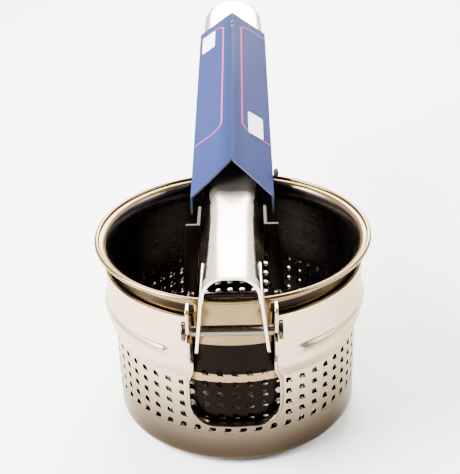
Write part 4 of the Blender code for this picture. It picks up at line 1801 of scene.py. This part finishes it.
@dataclass
class Studio:
    """Pale floor, soft lights and the camera."""

    target: tuple[float, float, float] = (-0.9, -3.65, 70.0)
    distance: float = 359.8
    elevation: float = 27.83
    azimuth: float = 1.3
    roll: float = -1.84
    lens: float = 78.26
    sky: float = 2.4
    floor_half: float = 8.0

    def build(self) -> None:
        """Build the floor, the sky, the lights and the camera."""
        self.build_floor()
        self.build_sky()
        # name, place, aim, size in metres, power in watts
        lights = (
            ("left softbox", (-0.55, -0.15, 0.50), (0, 0, 0.05), 0.50, 38.0),
            ("right softbox", (0.60, -0.05, 0.42), (0, 0, 0.05), 0.45, 6.0),
            ("rear softbox", (0.05, 0.75, 0.65), (0, 0.05, 0.05), 0.60, 34.0),
        )
        for name, place, aim, size, power in lights:
            self.add_light(name, Vector(place), Vector(aim), size, power)
        self.add_camera()

    def build_floor(self) -> None:
        """Lay a pale, matt floor."""
        bm = bmesh.new()
        bmesh.ops.create_grid(bm, x_segments=4, y_segments=4, size=self.floor_half)
        mesh = bpy.data.meshes.new("floor")
        bm.to_mesh(mesh)
        bm.free()
        floor = bpy.data.objects.new("floor", mesh)
        bpy.context.scene.collection.objects.link(floor)
        mesh.materials.append(PaperFinish("white backdrop paper", "#FFFFFF", "#FBFAF8", 3.0).make())
        floor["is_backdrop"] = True

    def build_sky(self) -> None:
        """Light the scene from all round, brighter at the horizon than overhead."""
        world = bpy.data.worlds.new("studio")
        world.use_nodes = True
        tree = world.node_tree
        place = add_node(tree, "ShaderNodeTexCoord").outputs["Generated"]
        split = add_node(tree, "ShaderNodeSeparateXYZ", inputs={0: place})
        fade = add_node(tree, "ShaderNodeMapRange", {"interpolation_type": "SMOOTHSTEP"}, {
            "Value": split.outputs["Z"], "From Min": 0.55, "From Max": 0.95, "To Min": 1.0, "To Max": 0.25,
        })
        ahead = add_node(tree, "ShaderNodeMapRange", {"interpolation_type": "SMOOTHSTEP"}, {
            "Value": split.outputs["Y"], "From Min": -0.45, "From Max": 0.25, "To Min": 0.18, "To Max": 1.0,
        })
        level = add_node(tree, "ShaderNodeMath", {"operation": "MULTIPLY"}, {
            0: fade.outputs["Result"], 1: ahead.outputs["Result"],
        })
        strength = add_node(tree, "ShaderNodeMath", {"operation": "MULTIPLY"}, {
            0: level.outputs[0], 1: self.sky,
        })
        background = tree.nodes["Background"]
        background.inputs["Color"].default_value = linear("#FFFBF4")
        tree.links.new(strength.outputs[0], background.inputs["Strength"])
        bpy.context.scene.world = world

    def add_light(self, name: str, place: Vector, aim: Vector, size: float, power: float) -> None:
        """Hang one square softbox.

        Args:
            name: The light's name.
            place: Where it hangs.
            aim: What it points at.
            size: The side of its face in metres.
            power: Its power in watts.
        """
        light = bpy.data.lights.new(name, "AREA")
        light.shape = "SQUARE"
        light.size = size
        light.energy = power
        lamp = bpy.data.objects.new(name, light)
        lamp.location = place
        lamp.rotation_euler = (aim - place).to_track_quat("-Z", "Y").to_euler()
        bpy.context.scene.collection.objects.link(lamp)

    def add_camera(self) -> None:
        """Place the camera a little above the handle, facing the hinge."""
        camera = bpy.data.cameras.new("camera")
        camera.sensor_fit = "HORIZONTAL"
        camera.sensor_width = 36.0
        camera.lens = self.lens
        camera.clip_start = 0.01
        azimuth = math.radians(self.azimuth)
        elevation = math.radians(self.elevation)
        level = math.cos(elevation)
        back = Vector((math.sin(azimuth) * level, -math.cos(azimuth) * level, math.sin(elevation)))
        eye = bpy.data.objects.new("camera", camera)
        aim = back.to_track_quat("Z", "Y").to_matrix().to_4x4()
        turn = aim @ Matrix.Rotation(math.radians(self.roll), 4, "Z")
        eye.matrix_world = Matrix.Translation(Vector(self.target) * MM + back * self.distance * MM) @ turn
        bpy.context.scene.collection.objects.link(eye)
        bpy.context.scene.camera = eye


def plain(box: tuple[Vector, Vector]) -> list[list[float]]:
    """Turn a box's two corners into plain lists."""
    return [[float(value) for value in corner] for corner in box]


def main() -> None:
    """Build and dress every sub-assembly in order."""
    logging.basicConfig(level=logging.INFO, format="%(name)s: %(message)s")
    cad_box = plain(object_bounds())
    hinge = Hinge()
    shape = HandleShape()
    palette = Palette()
    assemblies = (
        Drum(hinge, Perforation(columns=52, rows=5)), Cup(Perforation(columns=53, rows=6)), HingePin(hinge),
        UpperHandle(hinge, shape), LowerHandle(shape), Press(), Sleeve(shape),
    )
    for assembly in assemblies:
        assembly.build()
        assembly.dress(palette)
        for piece in assembly.pieces:
            LOG.info("%s: %s, %d faces", type(assembly).__name__, piece.name, len(piece.data.polygons))
    Studio().build()
    {"cad": cad_box, "visual": plain(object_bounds())}


if __name__ == "__main__":
    main()
